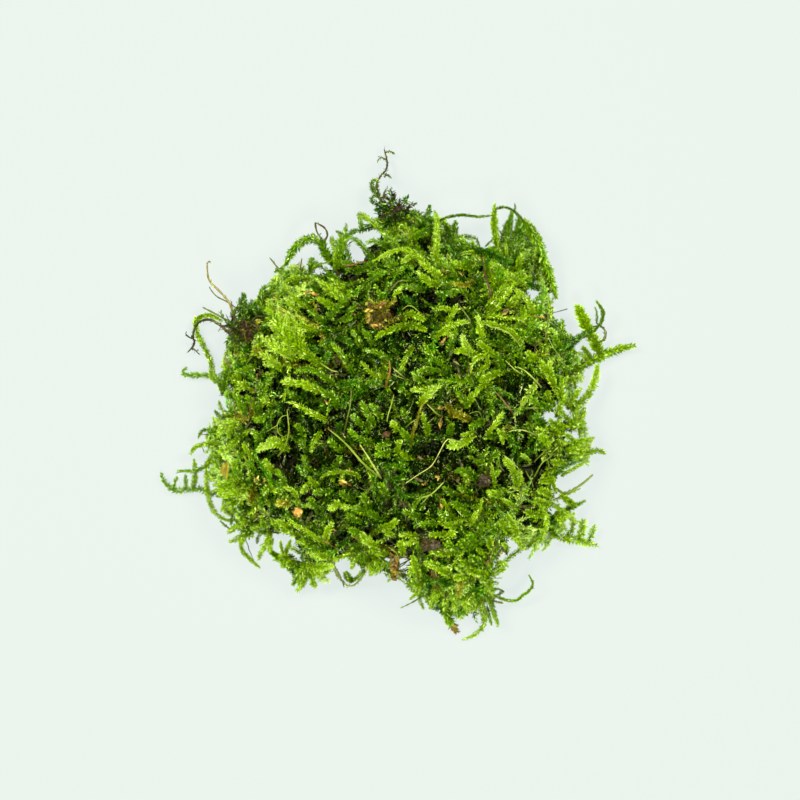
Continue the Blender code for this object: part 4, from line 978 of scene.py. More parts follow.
# The stems that the CAD has as nodes of their own: how each looks, and its route from the free end in
# millimetres.  Width is from leaf tip to leaf tip; open is how far the leaves stand off, in degrees.  One
# that isn't rooted grows from another stem, and one on top has a route of x and y alone.  Leaves, to a
# metre, are given where a leafy shoot has fewer than usual and shows its stem, or a bare one keeps more.
Stray = namedtuple("Stray", "node kind width tone hue open route rooted leaves", defaults=(True, None))
STRAYS = (
    Stray("stem_top_dark", B, 0.54, 0.34, 2, 0, ((-3.6, 52.8, 3.0), (-3.0, 48.8, 4.6), (-5.0, 45.8, 6.0),
           (-4.6, 42.4, 7.6), (-2.4, 38.0, 9.0)), leaves=3600),
    Stray("loop_brown_top_left", B, 0.54, 0.56, 2, 0, ((-17.4, 37.2, 10.5), (-15.4, 36.0, 12.2),
           (-14.8, 34.2, 13.4), (-16.0, 31.6, 14.6))),
    Stray("shoot_top_left_arch", L, 1.80, 0.52, 1, 46, ((-23.4, 28.8, 6.5), (-21.8, 31.6, 9.5),
           (-19.2, 33.6, 12.0), (-16.6, 33.4, 14.0), (-14.6, 30.0, 16.0))),
    Stray("stem_top_left_small", B, 0.45, 0.50, 1, 0, ((-26.8, 30.6, 4.4), (-25.8, 29.4, 6.6),
           (-24.2, 27.0, 9.0))),
    Stray("frond_upper_right", L, 0.62, 0.46, 1, 30, ((31.2, 22.6, 3.2), (30.3, 25.2, 5.6),
           (28.4, 29.4, 8.6), (26.7, 33.8, 11.6), (23.7, 37.6, 13.4), (21.4, 39.7, 13.6),
           (18.7, 39.8, 12.6), (18.2, 36.6, 12.2), (18.8, 32.8, 11.6), (19.4, 29.6, 10.6))),
    Stray("stem_top_bridge", L, 0.60, 0.40, 1, 24, ((18.4, 38.4, 14.4), (15.2, 38.0, 14.6),
           (11.6, 38.4, 13.6), (8.0, 37.6, 13.4), (6.0, 35.4, 14.0))),
    Stray("stem_twin_left_a", B, 0.52, 0.84, 2, 0, ((-38.5, 28.8, 14.6), (-38.2, 25.5, 13.6),
           (-36.4, 23.6, 13.0), (-34.2, 21.0, 12.8), (-32.8, 17.6, 14.0)), leaves=1100),
    Stray("stem_twin_left_b", B, 0.42, 0.40, 1, 0, ((-38.5, 24.4, 10.6), (-37.0, 22.5, 10.8),
           (-34.2, 21.0, 10.6), (-32.0, 18.8, 11.0)), leaves=800),
    Stray("stem_left_upper", B, 0.50, 0.50, 1, 0, ((-40.0, 20.4, 8.0), (-38.0, 19.4, 9.0),
           (-34.6, 17.6, 11.0))),
    Stray("shoot_left_loop", L, 1.20, 0.72, 0, 40, ((-36.4, 17.8, 5.4), (-39.4, 19.0, 4.0),
           (-41.8, 17.8, 3.2), (-41.4, 15.0, 2.8), (-40.0, 12.4, 3.0), (-38.6, 9.4, 4.2),
           (-37.6, 5.6, 6.0))),
    Stray("twig_left_dark", B, 0.62, 0.20, 2, 0, ((-43.6, 11.4, 2.2), (-42.0, 13.2, 3.6),
           (-42.2, 15.2, 4.6), (-40.6, 17.6, 6.4), (-37.2, 17.4, 8.4)), leaves=1800),
    Stray("shoot_left_level", L, 1.30, 0.66, 1, 50, ((-43.8, 8.4, 1.8), (-44.6, 7.2, 1.6),
           (-43.0, 6.8, 1.9), (-40.4, 6.8, 2.4), (-37.2, 6.4, 3.4))),
    Stray("hook_left_upper", L, 0.90, 0.50, 1, 32, ((-41.2, -5.8, 4.0), (-40.2, -4.4, 4.6),
           (-38.6, -4.4, 5.6), (-36.4, -6.0, 7.6))),
    Stray("hook_left_lower", L, 1.15, 0.68, 0, 36, ((-42.6, -9.0, 5.6), (-41.4, -7.6, 6.4),
           (-39.0, -7.0, 7.4), (-36.0, -7.4, 9.0))),
    Stray("shoot_left_long", L, 1.90, 0.66, 1, 62, ((-48.8, -13.0, 2.6), (-48.0, -15.2, 2.2),
           (-45.8, -16.6, 2.0), (-43.4, -16.4, 2.2), (-41.0, -16.2, 3.0),
           (-37.6, -17.2, 5.0)), leaves=26_000),
    Stray("shoot_left_long_branch_1", L, 1.15, 0.66, 1, 52, ((-45.6, -13.8, 3.4), (-46.2, -15.6, 2.8),
           (-46.6, -16.4, 2.1)), rooted=False, leaves=22_000),
    Stray("shoot_left_long_branch_2", L, 1.20, 0.66, 1, 52, ((-43.8, -13.4, 3.8), (-43.8, -15.0, 3.0),
           (-44.0, -16.4, 2.1)), rooted=False, leaves=22_000),
    Stray("shoot_left_long_branch_3", L, 1.45, 0.72, 0, 52, ((-42.0, -10.2, 4.4), (-41.8, -12.4, 4.4),
           (-42.0, -14.6, 3.6), (-42.4, -16.3, 2.4)), rooted=False, leaves=22_000),
    Stray("stem_left_thin", L, 0.75, 0.62, 1, 30, ((-45.2, -12.4, 6.0), (-42.0, -12.4, 6.4),
           (-39.4, -11.4, 7.2), (-37.0, -10.0, 8.4))),
    Stray("shoot_left_drop", L, 1.20, 0.74, 0, 48, ((-33.0, -22.4, 2.0), (-35.6, -22.6, 1.8),
           (-37.8, -21.2, 2.6), (-38.8, -18.4, 6.4), (-39.0, -14.6, 9.4), (-38.2, -9.8, 11.8))),
    Stray("stem_lower_left", L, 0.95, 0.66, 0, 28, ((-29.0, -32.2, 1.3), (-31.0, -30.4, 1.5),
           (-32.6, -28.2, 2.6), (-31.4, -24.8, 5.0))),
    Stray("shoot_lower_left_lobe", L, 1.70, 0.72, 0, 45, ((-21.2, -37.0, 2.2), (-20.2, -35.2, 3.6),
           (-17.8, -31.0, 7.0))),
    Stray("stem_bottom_loop", B, 0.46, 0.72, 0, 0, ((-14.0, -29.6, 8.0), (-13.2, -33.0, 4.4),
           (-11.0, -36.0, 2.2), (-8.8, -35.0, 2.8), (-6.8, -31.6, 6.0)), leaves=2600),
    Stray("stem_bottom_thin", B, 0.42, 0.45, 1, 0, ((-0.4, -40.6, 1.0), (2.0, -39.4, 1.6),
           (4.6, -37.6, 3.4), (7.0, -35.4, 6.0))),
    Stray("shoot_bottom_brown_tip", L, 2.10, 0.64, 1, 48, ((11.2, -45.4, 1.3), (9.8, -43.2, 2.2),
           (8.6, -40.4, 3.8), (8.2, -36.6, 7.0))),
    Stray("shoot_bottom_hook", L, 1.15, 0.78, 0, 45, ((12.4, -47.0, 1.2), (14.6, -46.0, 1.2),
           (16.4, -44.2, 1.8), (16.2, -40.6, 4.2))),
    Stray("shoot_bottom_right", L, 1.00, 0.64, 1, 28, ((19.6, -43.8, 1.4), (18.6, -41.2, 2.8),
           (17.4, -37.8, 5.6))),
    Stray("stem_bottom_right_curl", L, 0.62, 0.74, 1, 20, ((25.4, -33.2, 9.6), (26.2, -35.4, 7.8),
           (24.6, -37.4, 6.0), (22.2, -38.8, 4.8), (18.0, -37.2, 5.6))),
    Stray("shoot_lower_right", L, 2.20, 0.76, 0, 60, ((39.6, -27.8, 1.6), (36.6, -26.9, 1.9),
           (33.4, -26.3, 2.6), (30.8, -25.4, 3.8), (27.0, -23.6, 6.0)), leaves=24_000),
    Stray("shoot_lower_right_branch_1", L, 1.90, 0.78, 0, 62, ((34.8, -22.4, 4.8), (34.4, -24.2, 3.9),
           (33.8, -26.2, 2.7)), rooted=False, leaves=17_000),
    Stray("shoot_lower_right_branch_2", L, 2.20, 0.82, 0, 62, ((36.6, -22.4, 4.4), (36.4, -24.4, 3.4),
           (36.0, -26.6, 2.1)), rooted=False, leaves=17_000),
    Stray("shoot_lower_right_branch_3", L, 1.70, 0.76, 0, 62, ((39.0, -23.6, 3.8), (38.4, -25.4, 2.9),
           (37.8, -27.1, 1.9)), rooted=False, leaves=17_000),
    Stray("shoot_right_low", L, 1.10, 0.60, 1, 34, ((37.0, -18.6, 4.0), (33.6, -20.2, 5.8),
           (29.4, -22.0, 8.4))),
    Stray("stem_right_thin", B, 0.62, 0.56, 0, 0, ((38.6, -13.2, 5.0), (36.0, -15.2, 6.8),
           (32.6, -16.8, 9.4))),
    Stray("shoot_right_tip", L, 1.40, 0.70, 0, 45, ((41.2, -9.0, 3.8), (39.4, -8.4, 5.2),
           (36.2, -8.8, 8.0))),
    Stray("shoot_right_upright", L, 1.75, 0.80, 0, 56, ((39.2, 8.8, 8.0), (38.8, 5.8, 7.2),
           (37.6, 3.2, 7.4), (34.6, 0.6, 9.0))),
    Stray("shoot_right_long", L, 1.90, 0.60, 0, 42, ((47.0, 12.8, 3.4), (45.0, 12.4, 3.0),
           (42.0, 11.4, 3.0), (38.8, 10.0, 3.8), (34.4, 8.0, 6.4))),
    Stray("shoot_right_long_branch", L, 1.15, 0.70, 0, 40, ((36.2, 12.4, 8.2), (37.2, 11.2, 6.4),
           (38.2, 10.2, 4.4)), rooted=False),
    Stray("shoot_right_fat", L, 2.20, 0.70, 0, 42, ((35.2, 20.6, 7.4), (36.5, 18.0, 6.4),
           (37.9, 15.4, 5.4), (39.2, 13.0, 4.6), (39.9, 11.1, 3.6)), rooted=False),
    Stray("stem_right_fork", L, 1.00, 0.42, 2, 30, ((38.2, 16.0, 5.8), (36.0, 14.6, 7.8),
           (33.0, 12.0, 9.4))),
    Stray("stem_right_upper", L, 0.70, 0.58, 1, 24, ((38.8, 21.6, 9.6), (40.2, 19.6, 8.4),
           (40.0, 17.4, 6.8), (38.6, 15.6, 5.6)), rooted=False),
    Stray("loop_right", B, 0.60, 0.22, 1, 0, ((38.4, 16.6, 4.8), (40.4, 16.6, 4.2), (41.2, 15.2, 3.8),
           (40.6, 13.8, 4.0), (39.2, 13.4, 4.4)), rooted=False),
    Stray("shoot_top_upright", L, 1.20, 0.84, 0, 48, ((6.5, 39.4), (6.8, 37.5), (6.8, 35.1), (6.7, 32.2),
           (6.6, 29.3))),
    Stray("frond_lime_upper_left", F, 1.80, 0.63, 0, 45, ((-26.1, 20.5), (-23.6, 15.9), (-19.3, 11.6),
           (-14.9, 8.2))),
    Stray("shoot_lime_left", L, 1.50, 0.82, 0, 45, ((-23.1, 5.2), (-19.2, 5.0), (-15.6, 3.3))),
    Stray("fibre_pale", B, 0.16, 0.78, 0, 0, ((0.5, -14.2), (3.2, -12.3), (5.5, -10.8), (6.9, -8.5),
           (8.0, -6.4), (8.9, -5.6), (11.2, -6.2)), leaves=0),
    Stray("stem_red_upper", B, 0.46, 0.22, 3, 0, ((15.7, 29.5), (16.0, 26.6), (16.5, 24.3),
           (17.3, 21.3)), leaves=2400),
    Stray("stem_red_right", B, 0.36, 0.36, 3, 0, ((17.9, 3.3), (18.9, 2.2), (19.8, 1.1), (21.2, -0.7))),
    Stray("stem_yellow", B, 0.42, 0.62, 0, 0, ((-8.0, -6.6), (-6.3, -9.2), (-4.0, -13.1))),
)
# Short twigs on the bare stems, in millimetres
TWIGS = {
    "stem_top_dark": (
        ((-3.2, 50.4, 3.8), (-4.2, 50.8, 4.0), (-5.0, 50.2, 4.3)),
        ((-3.4, 51.8, 3.3), (-2.6, 52.2, 3.2), (-1.6, 51.6, 3.4)),
        ((-3.6, 46.8, 5.4), (-2.8, 47.2, 5.8), (-2.4, 46.6, 6.0)),
    ),
    "stem_twin_left_a": (((-38.5, 28.7, 14.6), (-38.1, 29.2, 14.4), (-37.8, 28.8, 14.2)),),
    "stem_bottom_loop": (
        ((-14.0, -29.8, 7.9), (-13.9, -32.0, 5.2), (-12.7, -34.4, 3.5), (-11.0, -35.9, 2.3)),
    ),
    "loop_brown_top_left": (
        ((-17.3, 37.1, 10.6), (-16.9, 35.2, 11.8), (-15.9, 33.8, 13.2), (-15.3, 32.9, 13.9)),
    ),
    "twig_left_dark": (
        ((-42.1, 14.2, 4.2), (-43.2, 14.6, 4.4), (-43.8, 15.4, 4.6)),
        ((-42.8, 12.4, 2.9), (-41.8, 11.8, 2.6), (-41.2, 11.0, 2.2)),
    ),
}
# Leafy shoots on a stem: each with its width, tone and hue, and its route
SideShoot = namedtuple("SideShoot", "width tone hue route")
SIDE_SHOOTS = {
    "frond_upper_right": (
        SideShoot(2.20, 0.62, 1, ((31.2, 22.6, 3.2), (30.3, 25.2, 5.6), (28.4, 29.4, 8.6), (26.7, 33.8, 11.6),
                                  (23.9, 37.3, 13.3))),
        SideShoot(1.50, 0.64, 0, ((18.4, 40.6, 12.6), (18.2, 36.6, 12.2), (18.8, 32.8, 11.6),
                                  (19.4, 29.6, 10.6))),
        SideShoot(0.50, 0.40, 1, ((22.3, 40.7, 13.8), (22.4, 39.8, 13.6), (22.2, 38.8, 13.2))),
    ),
    "stem_bottom_right_curl": (
        SideShoot(0.80, 0.58, OLIVE, ((20.4, -39.2, 4.6), (19.0, -38.9, 4.9), (17.4, -38.2, 5.4))),
    ),
    "stem_top_dark": (
        SideShoot(1.0, 0.48, 1, ((-4.8, 45.8, 6.0), (-5.8, 46.1, 6.4), (-6.2, 45.0, 6.7), (-5.9, 43.8, 7.0),
                                 (-5.0, 43.0, 7.3))),
        SideShoot(1.0, 0.48, 1, ((-4.7, 42.6, 7.5), (-5.6, 42.8, 8.0), (-6.2, 41.9, 8.3), (-5.8, 41.0, 8.5))),
        SideShoot(1.0, 0.40, 1, ((-4.6, 42.2, 7.7), (-3.5, 42.6, 8.2), (-2.5, 41.9, 8.6), (-2.0, 40.4, 8.9))),
        SideShoot(0.9, 0.44, 1, ((-5.0, 45.4, 6.2), (-4.9, 43.9, 6.9), (-4.4, 42.8, 7.4))),
    ),
}
LIFT_ON_TOP = 0.5 * MM  # of a stem that lies on top, over its CAD node's middle
ROOT_DEPTH = 4.5 * MM  # how far the root of a stray goes on under the tangle's skin
DEAD_TIPS = {"shoot_bottom_brown_tip": 0.80, "frond_upper_right": 0.94}  # how far along its leaves die


# The mass of fronds

# A map of how high the random fronds may reach: its cells, and how far it goes from the middle
CEILING_CELL, CEILING_REACH = 0.5 * MM, 60.0 * MM
UNDER_SHOOT = 1.15 * MM  # how far below a listed shoot the random fronds keep
RIM_ANGLES = 73  # every 5 degrees, with the first again as the last
RIM_SECTOR = math.radians(4.0)  # how far to each side of an angle the rim is looked for
HOLLOW_DEPTH = 2.4  # over half its width
DEEPEST_HOLLOW = 8.0 * MM
LOWEST_SHOOT = 1.5 * MM
SHORTEST_FROND = 4.0 * MM
HOLE_MARGIN = 2.5  # pixels
UNDERSIDE = -0.7  # a normal that points further down than this is the underside's
UNDERSIDE_FRONDS, UNDERSIDE_LITTER = 0.30, 0.5  # how densely they grow there

ALL_DEAD_SHARE, OLIVE_SHARE, BUSHY_SHARE = 0.03, 0.07, 0.50  # of the fronds
FROND_LEAVES, RIM_LEAVES_LONGER = (0.56, 0.88), 0.25  # millimetres, and by how much more at the rim
FROND_SWERVE = 0.16  # over its length
FROND_TONE_SPREAD, FROND_HUE_SPREAD = 0.13, 0.8
SHORT_BRANCH = 0.35  # over a bushy frond's, on the others
BRANCH_GAP = 2.3 * MM
HOLLOW_SHADE = 0.50  # how much tone the deepest hollow takes

# How a layer of fronds grows, in millimetres: how many, how far it keeps off the rim, the heights over the
# skin at the root, the lower and upper middle and the tip of a frond, its length and its branches', how much
# brighter it is (for the deeper layers, darker as painted shade), in how many pieces it is and how densely it
# is leaved
Layer = namedtuple(
    "Layer", "name count seed clear_rim root low high tip length branch brightness pieces leaves")
LAYERS = (
    Layer("moss_outer", 740, 1, 0.0, (-5.0, -2.5), (-0.9, 0.6), (-0.5, 1.3), (-0.9, 2.4), (10.0, 23.0),
          (2.8, 7.0), 0.03, 5, 1.0),
    Layer("moss_middle", 330, 2, 0.6, (-6.5, -4.0), (-2.6, -1.0), (-2.4, -0.6), (-2.6, 0.2), (8.0, 18.0),
          (3.2, 8.0), -0.19, 1, 0.52),
    Layer("moss_deep", 220, 3, 0.9, (-9.0, -5.5), (-5.0, -3.0), (-5.0, -2.4), (-5.2, -1.6), (9.0, 17.0),
          (3.2, 8.0), -0.36, 1, 0.4),
)
# The mass's tone in its middle, how much more it is at the rim, as painted light for the thin rim that light
# shines through, and how far it varies from patch to patch
MIDDLE_TONE, RIM_PAINTED_LIGHT, PATCH_TONE = 0.315, 0.405, 0.36
PATCH_SIZE = 8.0 * MM


class Clump:
    """Where the tangle's rim, holes and hollows are, and how high its random fronds may reach."""

    def __init__(self, skin):
        radius = np.hypot(skin.places[:, 0], skin.places[:, 1])
        angle = np.arctan2(skin.places[:, 1], skin.places[:, 0])
        self.angles = np.linspace(-math.pi, math.pi, RIM_ANGLES)
        near = np.abs((angle[:, None] - self.angles + math.pi) % math.tau - math.pi) < RIM_SECTOR
        self.reach = np.where(near, radius[:, None], 0.0).max(0)
        side = int(2 * CEILING_REACH / CEILING_CELL) + 1
        self.ceiling = np.full((side, side), 1.0)

    def rim(self, points):
        """How near the points are to the rim as seen from above: 0 in the middle, 1 at the outline."""
        angle = np.arctan2(points[..., 1], points[..., 0])
        return np.hypot(points[..., 0], points[..., 1]) / np.interp(angle, self.angles, self.reach)

    def outside(self, points):
        """Whether the points are past the reach of the mass as the photo shows it."""
        x, y = in_photo(points)
        right, up = x - MASS_CENTRE[0], MASS_CENTRE[1] - y
        turn = np.degrees(np.arctan2(up, right)) % 360.0
        reach = np.interp(turn, np.arange(37) * 10.0, MASS_REACH + MASS_REACH[:1])
        return np.hypot(right, up) > reach

    def in_hole(self, points, margin=HOLE_MARGIN):
        x, y = in_photo(points)
        inside = np.zeros(points.shape[:-1], bool)
        for at_x, at_y, half_x, half_y in HOLES:
            half_x, half_y = half_x + margin, half_y + margin
            inside |= ((x - at_x) / half_x) ** 2 + ((y - at_y) / half_y) ** 2 < 1.0
        return inside

    def hollow(self, points):
        """How deep the hollows are at the points."""
        x, y = in_photo(points)
        depth = np.zeros(points.shape[:-1])
        for at_x, at_y, half in HOLLOWS:
            full = min(HOLLOW_DEPTH * half * PIXEL, DEEPEST_HOLLOW)
            away = np.hypot(x - at_x, y - at_y) / half
            depth = np.maximum(depth, full * (1.0 - smoothstep(0.60, 1.25, away)))
        return depth

    def cells(self, points):
        spot = (points[..., :2] + CEILING_REACH) / CEILING_CELL
        index = np.clip(np.round(spot).astype(int), 0, len(self.ceiling) - 1)
        return index[..., 0], index[..., 1]

    def press(self, points, half):
        """Keep the random fronds below these points, out to the given half width."""
        span = int(math.ceil(half / CEILING_CELL))
        across, up = self.cells(points)
        top = len(self.ceiling) - 1
        for step_x in range(-span, span + 1):
            for step_y in range(-span, span + 1):
                if math.hypot(step_x, step_y) * CEILING_CELL <= half:
                    cell = (np.clip(across + step_x, 0, top), np.clip(up + step_y, 0, top))
                    np.minimum.at(self.ceiling, cell, points[..., 2] - UNDER_SHOOT)

    def lowered(self, paths):
        """The paths, kept under what lies over them."""
        paths = paths.copy()
        paths[..., 2] = np.minimum(paths[..., 2], self.ceiling[self.cells(paths)])
        return paths

    def tone(self, points):
        """How bright the moss is at the points, with painted light towards the rim, before the painted shade
        of the hollows.
        """
        rim = smoothstep(0.52, 0.94, self.rim(points))
        patch = soft_noise(points, PATCH_SIZE, 21) - 0.5
        # Painted light: brighter towards the rim
        total = MIDDLE_TONE + RIM_PAINTED_LIGHT * rim + PATCH_TONE * patch
        x, y = in_photo(points)
        for at_x, at_y, half, change in AREAS:
            total = total + change * np.exp(-((x - at_x) ** 2 + (y - at_y) ** 2) / half ** 2)
        return total


def cut_off(paths, lost):
    """The paths, each cut off where its first point is lost."""
    count = paths.shape[1]
    end = np.where(lost.any(1), np.maximum(lost.argmax(1) - 1, 0), count - 1)
    rows = np.repeat(np.arange(len(paths)), count)
    share = (end / (count - 1))[:, None] * np.linspace(0.0, 1.0, count)
    return along(paths, rows, share.ravel())[0].reshape(paths.shape)


def grown_fronds(skin, clump, layer):
    """The stems of a layer of fronds: (main stems, side branches)."""
    rng = np.random.default_rng(layer.seed)
    weight = np.where(skin.normal[:, 2] < UNDERSIDE, UNDERSIDE_FRONDS, 1.0)
    middles = skin.places[skin.corners].mean(1)
    weight = weight * (1.0 - layer.clear_rim * smoothstep(0.78, 0.95, clump.rim(middles)))
    root, normal = skin.scattered(layer.count, weight, rng)
    count = layer.count
    ahead = squared(rng.normal(0.0, 1.0, (count, 3)), normal)
    outward = squared(root * np.array((1.0, 1.0, 0.0)) + 1e-9, normal)
    pull = (0.9 * smoothstep(0.6, 1.0, clump.rim(root)))[:, None]
    ahead = squared(ahead + outward * pull, normal)
    length = rng.uniform(*layer.length, count) * MM

    def over(share, heights, swerve):
        """A control point of each frond, over the skin."""
        reached = root + ahead * (length * share)[:, None] + sideways * (length * swerve)[:, None]
        place, way = skin.nearest(reached)
        height = rng.uniform(*heights, count) * MM
        return place + way * height[:, None], way

    sideways = np.cross(normal, ahead)
    swerve = rng.normal(0.0, FROND_SWERVE, count)
    start = root + normal * (rng.uniform(*layer.root, count) * MM)[:, None] - ahead * (0.15 * length)[:, None]
    low, _ = over(0.25, layer.low, 0.0)
    high, _ = over(0.65, layer.high, swerve)
    tip, way = over(1.0, layer.tip, 2.2 * swerve)
    path = bezier(start, low, high, tip, STEM_POINTS)
    dent = clump.hollow(path)
    path[..., 2] -= dent
    path = clump.lowered(path)
    side = unit(np.cross(way, tip - low) + rng.normal(0.0, 0.25, (count, 3)))
    shade = HOLLOW_SHADE * (dent / DEEPEST_HOLLOW).mean(1)
    # Painted shade: the deeper layers are darker, and so are fronds in the hollows
    tone = clump.tone(low) + layer.brightness - shade + rng.normal(0.0, FROND_TONE_SPREAD, count)
    green = 1.9 - 1.5 * tone + rng.normal(0.0, FROND_HUE_SPREAD, count)  # bright fronds are rather lime
    hue = np.clip(np.round(green), 0, OLIVE - 1).astype(int)
    hue = np.where(rng.uniform(0.0, 1.0, count) < OLIVE_SHARE, OLIVE, hue)
    life = rng.uniform(0.0, 1.0, count) > np.where(clump.rim(low) < 0.8, ALL_DEAD_SHARE, 0.0)
    longer = 1.0 + RIM_LEAVES_LONGER * smoothstep(0.7, 1.0, clump.rim(low))
    leaf = rng.uniform(*FROND_LEAVES, count) * longer * MM
    path = cut_off(path, clump.outside(path))
    mains = Stems(path, side, tone, hue, leaf, life)
    mains = some(mains, (lengths(path) > SHORTEST_FROND) & ~clump.in_hole(path).any(1))
    longest = rng.uniform(*layer.branch, len(mains.path)) * MM
    bushy = rng.uniform(0.0, 1.0, len(longest)) < BUSHY_SHARE
    branches = branches_of(mains, BRANCH_GAP, np.where(bushy, longest, SHORT_BRANCH * longest), rng)
    branches = branches._replace(path=clump.lowered(branches.path))
    return mains, some(branches, ~(clump.in_hole(branches.path) | clump.outside(branches.path)).any(1))


LITTER_COUNT = 34_000
LITTER_DEPTH, LITTER_LAYER = 4.0 * MM, 7.0 * MM  # where it starts under the skin, and how thick it is
LITTER_LENGTHS = (1.5, 4.2)  # millimetres, from its top to 5 mm deeper
LITTER_SLIMNESS = 0.30


def grown_litter(skin, clump):
    """Dead leaves and scraps between the stems, deep in the clump."""
    rng = np.random.default_rng(LITTER_SEED)
    count = LITTER_COUNT
    weight = skin.area * np.where(skin.normal[:, 2] < UNDERSIDE, UNDERSIDE_LITTER, 1.0)
    face = rng.choice(len(weight), count, p=weight / weight.sum())
    part = rng.uniform(0.0, 1.0, (count, 2))
    part = np.where(part.sum(1, keepdims=True) > 1.0, 1.0 - part, part)
    a, b, c = (skin.places[skin.corners[face, i]] for i in range(3))
    place = a + (b - a) * part[:, :1] + (c - a) * part[:, 1:]
    normal = skin.normal[face]
    depth = LITTER_DEPTH + LITTER_LAYER * rng.uniform(0.0, 1.0, count)
    place = place - normal * depth[:, None]
    place[:, 2] = np.maximum(place[:, 2] - clump.hollow(place), 0.6 * MM)
    facing = unit(normal + rng.normal(0.0, 0.55, (count, 3)))
    ahead = squared(rng.normal(0.0, 1.0, (count, 3)), facing)
    length = blended(*LITTER_LENGTHS, smoothstep(LITTER_DEPTH, 9.0 * MM, depth))
    length = length * rng.uniform(0.7, 1.2, count) * MM
    reached = place[:, None] + ahead[:, None] * length[:, None, None] * np.array((0.0, 0.5, 1.0))[:, None]
    kept = ~clump.in_hole(reached, 2.4 * HOLE_MARGIN).any(1) & (clump.rim(reached).max(1) < 0.91)
    place, depth, facing, ahead = place[kept], depth[kept], facing[kept], ahead[kept]
    length = length[kept]
    count = len(place)
    edge = smoothstep(0.70, 0.92, clump.rim(place))
    # Painted light: litter is lighter towards the rim; its dark tone is partly painted shade over its own
    # dead colour
    tone = -0.06 + 0.25 * edge + 0.12 * soft_noise(place, 4.0 * MM, 33) + rng.normal(0.0, 0.04, count)
    hue = rng.integers(1, HUES, count)
    green = rng.uniform(0.0, 1.0, count) < 0.35 + 0.5 * edge
    hue = np.where(green, np.minimum(hue, OLIVE - 1), hue)
    band = np.where(green[:, None], np.array(LIVING), np.array(DEAD))
    growth = Growth()
    curl = rng.normal(0.1, 0.2, count)
    width = length * LITTER_SLIMNESS
    add_blades(growth, PLAIN, place, ahead, facing, length, width, curl, tone, hue, band)
    return growth


# Shoots given one by one

# Leaves to a metre: of the mass's fronds and their branches, of the listed shoots and their branches,
# of strays, their branches and side shoots, of old sprigs, and what a bare stem keeps
AXIS_LEAVES, BRANCH_LEAVES = 9000, 9500
LAID_LEAVES, LAID_BRANCH_LEAVES = 20_000, 16_000
STRAY_LEAVES, STRAY_BRANCH_LEAVES, SIDE_SHOOT_LEAVES = 34_000, 14_000, 32_000
SPRIG_LEAVES = 9000
REMNANTS = 350
# The branches of a feathered shoot: their angle to it in degrees, and how far along it they start
FEATHER = ((40, 58), 0.04)
FEATHER_LEAVES = (44.0, 24.0)  # how far their leaves stand off, in degrees
LAID_BRANCH_GAP, STRAY_BRANCH_GAP = 0.60 * MM, 0.55 * MM
LAID_BRANCH_LEAF, STRAY_BRANCH_LEAF = 0.62, 0.66  # a leaf's length over what it would be
LAID_BRANCH_REACH = 0.62  # over the shoot's width, where its row says nothing else
FEATHERED = 10  # pixels; a listed shoot that is this wide has side branches
STRAY_BRANCH_REACH = 3.8 * MM  # of its longest side branches
LEAF_LENGTHS = (0.30 * MM, 1.40 * MM)
LEAST_LIFT = 0.35  # millimetres that a listed shoot lies over the skin
SUNK_ROOT = 2.6  # millimetres that the root of a shoot goes down into the mass
LAID_OPEN, BARE_OPEN, SIDE_OPEN, STRAY_BARE_OPEN = 48, 30, 42, 40  # how far leaves stand off, in degrees
LAID_BARK, STRAY_BARK, TWIG_BARK = 0.28, 0.50, 0.36  # a bare stem's radius over its width
BARE_TONE = 0.62  # over how bright the photo shows the stem
DEAD_LEAF_DARKER = 0.32  # by how much tone dead leaves are darker than the photo shows them
REMNANT_TONE = 0.8  # over the stem's


def one_stem(path, width, tone, hue, open_angle, rng, tilt=0.30):
    """A set of one stem, whose leaf tips are the width apart."""
    run = unit(path[-1] - path[0] + 1e-9)
    side = squared(np.cross(UP, run) + rng.normal(0.0, tilt, 3), run)
    leaf = np.clip(0.5 * width / (FULL_BODY + math.sin(math.radians(max(open_angle, 20)))), *LEAF_LENGTHS)
    return Stems(path[None], side[None], *(np.array([value]) for value in (tone, hue, leaf, True)))


def laid_path(item, skin):
    """The points of a listed shoot from its root, which goes down into the clump."""
    pixels = curve_through(np.array(item.route, float)[::-1], STEM_POINTS)
    share = np.linspace(0.0, 1.0, STEM_POINTS)
    sunk = 0.0 if item.kind == D else SUNK_ROOT * (1.0 - smoothstep(0.0, 0.30, share)) ** 2
    lift = (LEAST_LIFT + item.lift - sunk) * MM
    lift = np.broadcast_to(lift, share.shape)
    path = np.array([skin.under_pixel(x, y, up) for (x, y), up in zip(pixels, lift)])
    path[:, 2] = np.maximum(path[:, 2], LOWEST_SHOOT)
    for _ in range(3):
        path[1:-1, 2] = (path[:-2, 2] + path[1:-1, 2] + path[2:, 2]) / 3.0
    return path


def leaf_tone(tone):
    """The tone of a shoot's leaves, from how bright the photo shows the shoot."""
    return 0.06 + 0.80 * tone


